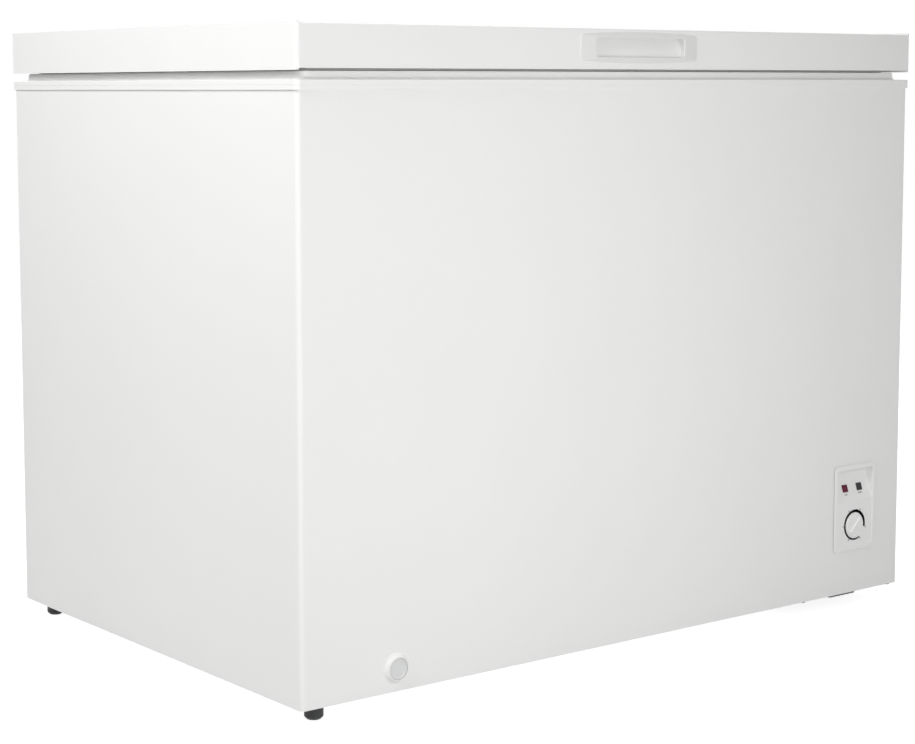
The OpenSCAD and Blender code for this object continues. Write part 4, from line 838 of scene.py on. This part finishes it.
def lidInnerPanel():
    # one formed sheet: rim, channel for the seal, raised middle with a shallow stiffening groove
    look = innerPanel
    lo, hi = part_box("lid_inner_panel")
    low, rim, roof = lo.z / mm, hi.z / mm - look["rimDrop"], hi.z / mm - look["roofDrop"]
    (a, b), slope, wall = look["groove"], look["grooveSlope"], look["wallInset"]
    lifted = low + look["grooveDepth"]

    def planRadius(inset):
        if inset <= look["cornerFrom"]:
            return look["corner"]
        return min(look["cornerMost"], look["corner"] + (inset - look["cornerFrom"]) * look["cornerGain"])

    path = edged([(look["rimInset"] - look["rimLap"], rim), (look["rimInset"], rim), (look["rimInset"], roof),
                  (wall, roof), (wall, low), (a, low), (a + slope, lifted), (b - slope, lifted), (b, low),
                  (b + look["field"], low)], look["edges"], look["edgeSteps"], unit=1)
    edgeInset, edgeCorner = look["sheetEdge"]
    layers = [(trimHi.x - hi.x, edgeInset * mm, rim * mm, edgeCorner * mm)]
    layers += [(p.x * mm, p.x * mm, p.y * mm, planRadius(p.x) * mm) for p in path]
    bm = bmesh.new()
    sweep(bm, trimLo, trimHi, layers, caps=(False, True), steps=look["cornerSteps"])
    bmesh.ops.recalc_face_normals(bm, faces=bm.faces)
    if sum(f.normal.z * f.calc_area() for f in bm.faces) > 0:
        bmesh.ops.reverse_faces(bm, faces=bm.faces)
    piece = finished(bm, "lid_inner_panel", solid=False)
    sheet = piece.modifiers.new("sheetThickness", "SOLIDIFY")
    sheet.thickness = look["sheet"] * mm
    sheet.offset = -1
    sheet.use_even_offset = True


# the seal's section: inset from the outline and height above its foot, with the corner's rounding, in mm
seal = {"section": [(25, 0, 1.0), (39, 0, 1.0), (39, 3, 0.8), (36, 4, 0.6), (39.6, 5.7, 0.9),
                    (37, 7.2, 0.6), (38, 9.7, 0.3), (26, 9.7, 0.3), (27, 7.2, 0.6), (24.4, 5.7, 0.9),
                    (28, 4, 0.6), (25, 3, 0.8)],
        "corner": 10, "cornerFrom": 24, "cornerGain": 1 / 8, "crease": 50}


def lidGasket():
    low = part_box("lid_gasket")[0].z
    layers = []
    for p in blended(seal["section"]):
        radius = seal["corner"] + (p.x - seal["cornerFrom"]) * seal["cornerGain"]
        layers.append((p.x * mm, p.x * mm, low + p.y * mm, radius * mm))
    bm = bmesh.new()
    sweep(bm, trimLo, trimHi, layers, closed=True)
    finished(bm, "lid_gasket", crease=seal["crease"])


endCap = {"round": 2.4 * mm, "outerCorner": {"lid_end_cap_left": 0, "lid_end_cap_right": 1}}


def lidShell():
    dressed("lid_skin")
    dressed("lid_foam")
    for node, outer in endCap["outerCorner"].items():
        dressed(node, (0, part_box(node)[outer].x), endCap["round"])


# in mm; depths are behind the lid's painted front
grip = {"corner": 5, "bow": 3.4, "edge": 1.4, "recess": (153, 23), "recessCorner": 3, "lip": 3,
        "undercut": 2.4, "shallow": 3.8, "deep": 15, "scoopCurve": 2, "back": 22, "plug": (188, 30),
        "plugCorner": 4,
        # the bezel's rounded outer edge: narrower, lower, tighter corner, depth behind the edge's height
        "outerEdge": ((0, 0, 0, 0.9), (0.8, 0.5, 0, 0.35), (2.6, 1.6, 0.4, 0)),
        # the recess's mouth: wider, higher, wider corner, share of the bow, depth behind the bezel's top
        "mouthEdge": ((8, 7, 2.6, 0.25, 0.35), (5, 4.6, 2, 0.1, 0.05), (3, 3, 1.4, 0, 0),
                      (1.4, 1.4, 0.7, 0, 0.2), (0.3, 0.3, 0.1, 0, 1), (0, 0, 0, 0, 2)),
        # the fillet round the scoop's floor: inset and lift; then the floor, closing to its middle in shares
        "fillet": ((0, -6), (1, -3.2), (2.6, -1.5), (4.6, -0.5), (6.5, -0.1)), "sink": 0.1,
        "floor": (0.62, 0.42, 0.22, 0.05), "floorIn": 16, "floorTaper": 20,
        "long": 28, "short": 6, "arc": 6, "crease": 48}


def gripLoop(bm, width, height, radius, bow, rise, depth):
    # rounded rectangle whose long sides bow outwards; its depth is a number or follows the height
    lo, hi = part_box("lid_grip")
    centre = (lo.z + hi.z) / 2 / mm
    w, h = width / 2 - radius, height / 2 - radius
    long, short, arc = grip["long"], grip["short"], grip["arc"]
    flat = []
    for side in (1, -1):
        flat += [(side * (w - 2 * w * k / long), side * height / 2) for k in range(long)]
        for start, x, z in ((90, -w, h), (180, -w, -h)):
            turn = [radians(start + 90 * k / arc) for k in range(arc)]
            if start == 180:
                flat += [(side * -width / 2, side * (h - 2 * h * k / short)) for k in range(short)]
            flat += [(side * (x + radius * cos(a)), side * (z + radius * sin(a))) for a in turn]
    verts = []
    for x, z in flat:
        arch = -bow * (2 * x / width) ** 2 * min(1, abs(z) / (height / 2))
        z += copysign(1, z) * arch + rise
        place = depth(z) if callable(depth) else depth
        verts.append(bm.verts.new((x * mm, lidFront + place * mm, (centre + z) * mm)))
    return verts


def lidGrip():
    # bezel that rises towards a scooped finger recess; the scoop runs up and back behind the upper lip
    lo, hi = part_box("lid_grip")
    w, h = (hi.x - lo.x) / mm, (hi.z - lo.z) / mm
    proud = (lidFront - lo.y) / mm
    rw, rh = grip["recess"]
    pw, ph = grip["plug"]
    r, rr, bow, up = grip["corner"], grip["recessCorner"], grip["bow"], grip["undercut"] / 2
    lip, sink, shallow, deep = grip["lip"], grip["sink"], grip["shallow"], grip["deep"]

    def scoop(z):
        t = max(0, min(1, (z + rh / 2) / (rh + 2 * up)))
        return shallow + (deep - shallow) * t ** grip["scoopCurve"]

    bm = bmesh.new()
    layers = [(pw, ph, grip["plugCorner"], 0, 0, grip["back"]), (pw, ph, grip["plugCorner"], 0, 0, 0),
              (w, h, r, bow, 0, 0)]
    layers += [(w - narrower, h - lower, r - tighter, bow, 0, depth - grip["edge"])
               for narrower, lower, tighter, depth in grip["outerEdge"]]
    layers += [(rw + wider, rh + higher, rr + rounder, bow * share, 0, depth - proud)
               for wider, higher, rounder, share, depth in grip["mouthEdge"]]
    layers += [(rw, rh, rr, 0, 0, lip), (rw, rh + 2 * up, rr, 0, up, lip + sink)]
    layers += [(rw - 2 * inset, rh + 2 * up - inset, rr + inset / 4, 0, up,
                lambda z, lift=lift: max(lip + 2 * sink, scoop(z) + lift)) for inset, lift in grip["fillet"]]
    layers += [(rw - grip["floorIn"] - grip["floorTaper"] * (1 - share), rh * share, rr * share, 0, up, scoop)
               for share in grip["floor"]]
    rings = [gripLoop(bm, *layer) for layer in layers]
    bridge(bm, rings)
    bm.faces.new(rings[0])
    bm.faces.new(rings[-1])
    # the bezel's faces take the painted-shade copy of the white ABS and the recess's faces take the plain
    # white ABS, so the recess is painted lighter than the bezel
    for face in bm.faces:
        middle = face.calc_center_median()
        aside = abs(middle.x - (lo.x + hi.x) / 2)
        face.material_index = int(middle.y > lidFront and aside < (rw + 1) / 2 * mm)
    piece = finished(bm, "lid_grip", finish=shadedGripAbs, crease=grip["crease"])
    piece.data.materials.append(finishOf["moulded_abs"])  # the recess, whose face indices are 1


lidShell()
lidInnerPanel()
lidGasket()
lidGrip()
print("lid dressed")

spring = {"gauge": 1.25 * mm, "turns": 16, "steps": 20, "crease": 60}


def hinges():
    gauge, turns, steps = spring["gauge"], spring["turns"], spring["steps"]
    for side in ("left", "right"):
        for part in ("hinge_bracket_", "hinge_leaf_", "hinge_rod_", "hinge_pin_"):
            dressed(part + side)
        lo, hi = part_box("hinge_spring_" + side)
        x, y, radius = (lo.x + hi.x) / 2, (lo.y + hi.y) / 2, (hi.x - lo.x) / 2 - gauge
        rise = hi.z - lo.z - 2 * gauge
        bm = bmesh.new()
        wire(bm, coiled(x, y, lo.z + gauge, radius, rise / turns, steps, turns * steps + 1), gauge)
        finished(bm, "hinge_spring_" + side, crease=spring["crease"])


hinges()
print("hinges dressed")

# wire radii, how many wires run each way, and the levels of the hoops as shares of the depth
basket = {"rim": 2.5 * mm, "rimSides": 12, "rimBend": 16 * mm, "mesh": 1.4 * mm, "bend": 9 * mm,
          "long": 5, "cross": 12, "hoops": (0.35, 0.7), "hook": 24.5 * mm, "crease": 60}


def wireBasket():
    lo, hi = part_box("wire_basket")
    rim, gauge, bend, long, cross = (basket[key] for key in ("rim", "mesh", "bend", "long", "cross"))
    top, low = hi.z - rim, lo.z + gauge
    x0, x1 = lo.x + rim, hi.x - rim
    r0, r1 = lo.y + rim, hi.y - rim
    y0, y1 = r0 + basket["hook"], r1 - basket["hook"]
    bm = bmesh.new()
    rimPath = bentPath([(x0, r0, top), (x1, r0, top), (x1, r1, top), (x0, r1, top)], basket["rimBend"], True)
    wire(bm, rimPath, rim, basket["rimSides"], True)
    for level in basket["hoops"]:
        z = top - (top - low) * level
        hoop = [(x0, y0, z), (x1, y0, z), (x1, y1, z), (x0, y1, z)]
        wire(bm, bentPath(hoop, bend, True), gauge, closed=True)
    for i in range(long):
        x = x0 + (x1 - x0) * i / (long - 1)
        run = [(x, r0, top), (x, y0, top), (x, y0, low), (x, y1, low), (x, y1, top), (x, r1, top)]
        wire(bm, bentPath(run, bend), gauge)
    for i in range(1, cross + 1):
        y = y0 + (y1 - y0) * i / (cross + 1)
        wire(bm, bentPath([(x0, y, top), (x0, y, low), (x1, y, low), (x1, y, top)], bend), gauge)
    finished(bm, "wire_basket", crease=basket["crease"])


wireBasket()
print("basket dressed")

# the floor's half width and corner in metres, its tones and the strengths of the white round it
studio = {"half": 7.0, "corner": 0.5, "grain": 4 * mm, "paper": ("C8C8C8", "CCCCCC"), "glow": 0.86,
          "ambient": 0.27, "white": 1.0,
          # place, aim, size in metres, watts
          "softboxes": {"sideSoftbox": ((-1.85, -0.38, 1.75), (-0.3, -0.2, 0.4), 1.3, 29.5),
                        "frontSoftbox": ((-0.3, -1.75, 0.62), (-0.2, -0.2, 0.4), 1.0, 11.2),
                        "rightSoftbox": ((3.2, 0.5, 1.8), (0.5, 0.0, 0.5), 1.8, 22),
                        "rearSoftbox": ((0.2, 3.2, 2.6), (0.0, 0.2, 0.6), 2.2, 46)}}


def anyView(owner):
    # 1 where the camera, a gloss or a clear piece looks, 0 for the light that falls on the object
    seen = addNode(owner, "LightPath").node.outputs
    either = addNode(owner, "Math", {0: seen["Is Camera Ray"], 1: seen["Is Glossy Ray"]}, operation="MAXIMUM")
    return addNode(owner, "Math", {0: either, 1: seen["Is Transmission Ray"]}, operation="MAXIMUM")


def paleFloor():
    # matt white paper: takes the object's shadow and looks white elsewhere
    bm = bmesh.new()
    corner = Vector((-studio["half"], -studio["half"], 0))
    sweep(bm, corner, -corner, [(0, 0, 0, studio["corner"])], caps=(True, False))
    bm.normal_update()
    bmesh.ops.reverse_faces(bm, faces=[f for f in bm.faces if f.normal.z < 0])
    floor = placed("paleFloor", meshOf("paleFloor", bm))
    paper, place = startFinish("paleFloorPaper", {})
    nodes = paper.node_tree.nodes
    nodes.remove(nodes["Principled BSDF"])
    grain = addNode(paper, "TexNoise", {"Vector": place, "Scale": 1 / studio["grain"]})
    firstTone, lastTone = studio["paper"]
    tone = addNode(paper, "Mix", {0: grain, 6: linear(firstTone), 7: linear(lastTone)}, out=2,
                   data_type="RGBA")
    matt = addNode(paper, "BsdfDiffuse", {"Color": tone})
    power = addNode(paper, "Math", {0: anyView(paper), 1: studio["glow"]}, operation="MULTIPLY")
    glow = addNode(paper, "Emission", {"Strength": power})
    addNode(paper, "AddShader", {0: matt, 1: glow}, nodes["Material Output"].inputs["Surface"])
    floor.data.materials.append(paper)


def whiteWorld():
    world = bpy.data.worlds.new("whiteStudio")
    bpy.context.scene.world = world
    world.use_nodes = True
    background = world.node_tree.nodes["Background"].inputs
    background["Color"].default_value = (1, 1, 1, 1)
    addNode(world, "MapRange", {"Value": anyView(world), "To Min": studio["ambient"],
                                "To Max": studio["white"]}, background["Strength"])


def softboxes():
    for name, (place, aim, size, watts) in studio["softboxes"].items():
        light = bpy.data.lights.new(name, "AREA")
        light.shape = "SQUARE"
        light.size = size
        light.energy = watts
        box = placed(name, light)
        box.location = place
        box.rotation_euler = (Vector(aim) - Vector(place)).to_track_quat("-Z", "Y").to_euler()


lens = {"place": (-1.869, -2.344, 0.752), "yaw": 0.6526, "pitch": 0.1008, "roll": -0.0020,
        "focal": 82.39, "sensor": 36, "shift": (0.04, -0.08), "farthest": 50}


def camera():
    data = bpy.data.cameras.new("studioCamera")
    data.sensor_width = lens["sensor"]
    data.lens = lens["focal"]
    data.shift_x, data.shift_y = lens["shift"]
    data.clip_end = lens["farthest"]
    view = placed("studioCamera", data)
    view.matrix_world = (Matrix.Translation(lens["place"]) @ Matrix.Rotation(-lens["yaw"], 4, "Z")
                         @ Matrix.Rotation(pi / 2 - lens["pitch"], 4, "X")
                         @ Matrix.Rotation(lens["roll"], 4, "Z"))
    bpy.context.scene.camera = view


paleFloor()
whiteWorld()
softboxes()
camera()
bpy.context.scene.view_settings.view_transform = "Standard"
print("floor, light and camera set")
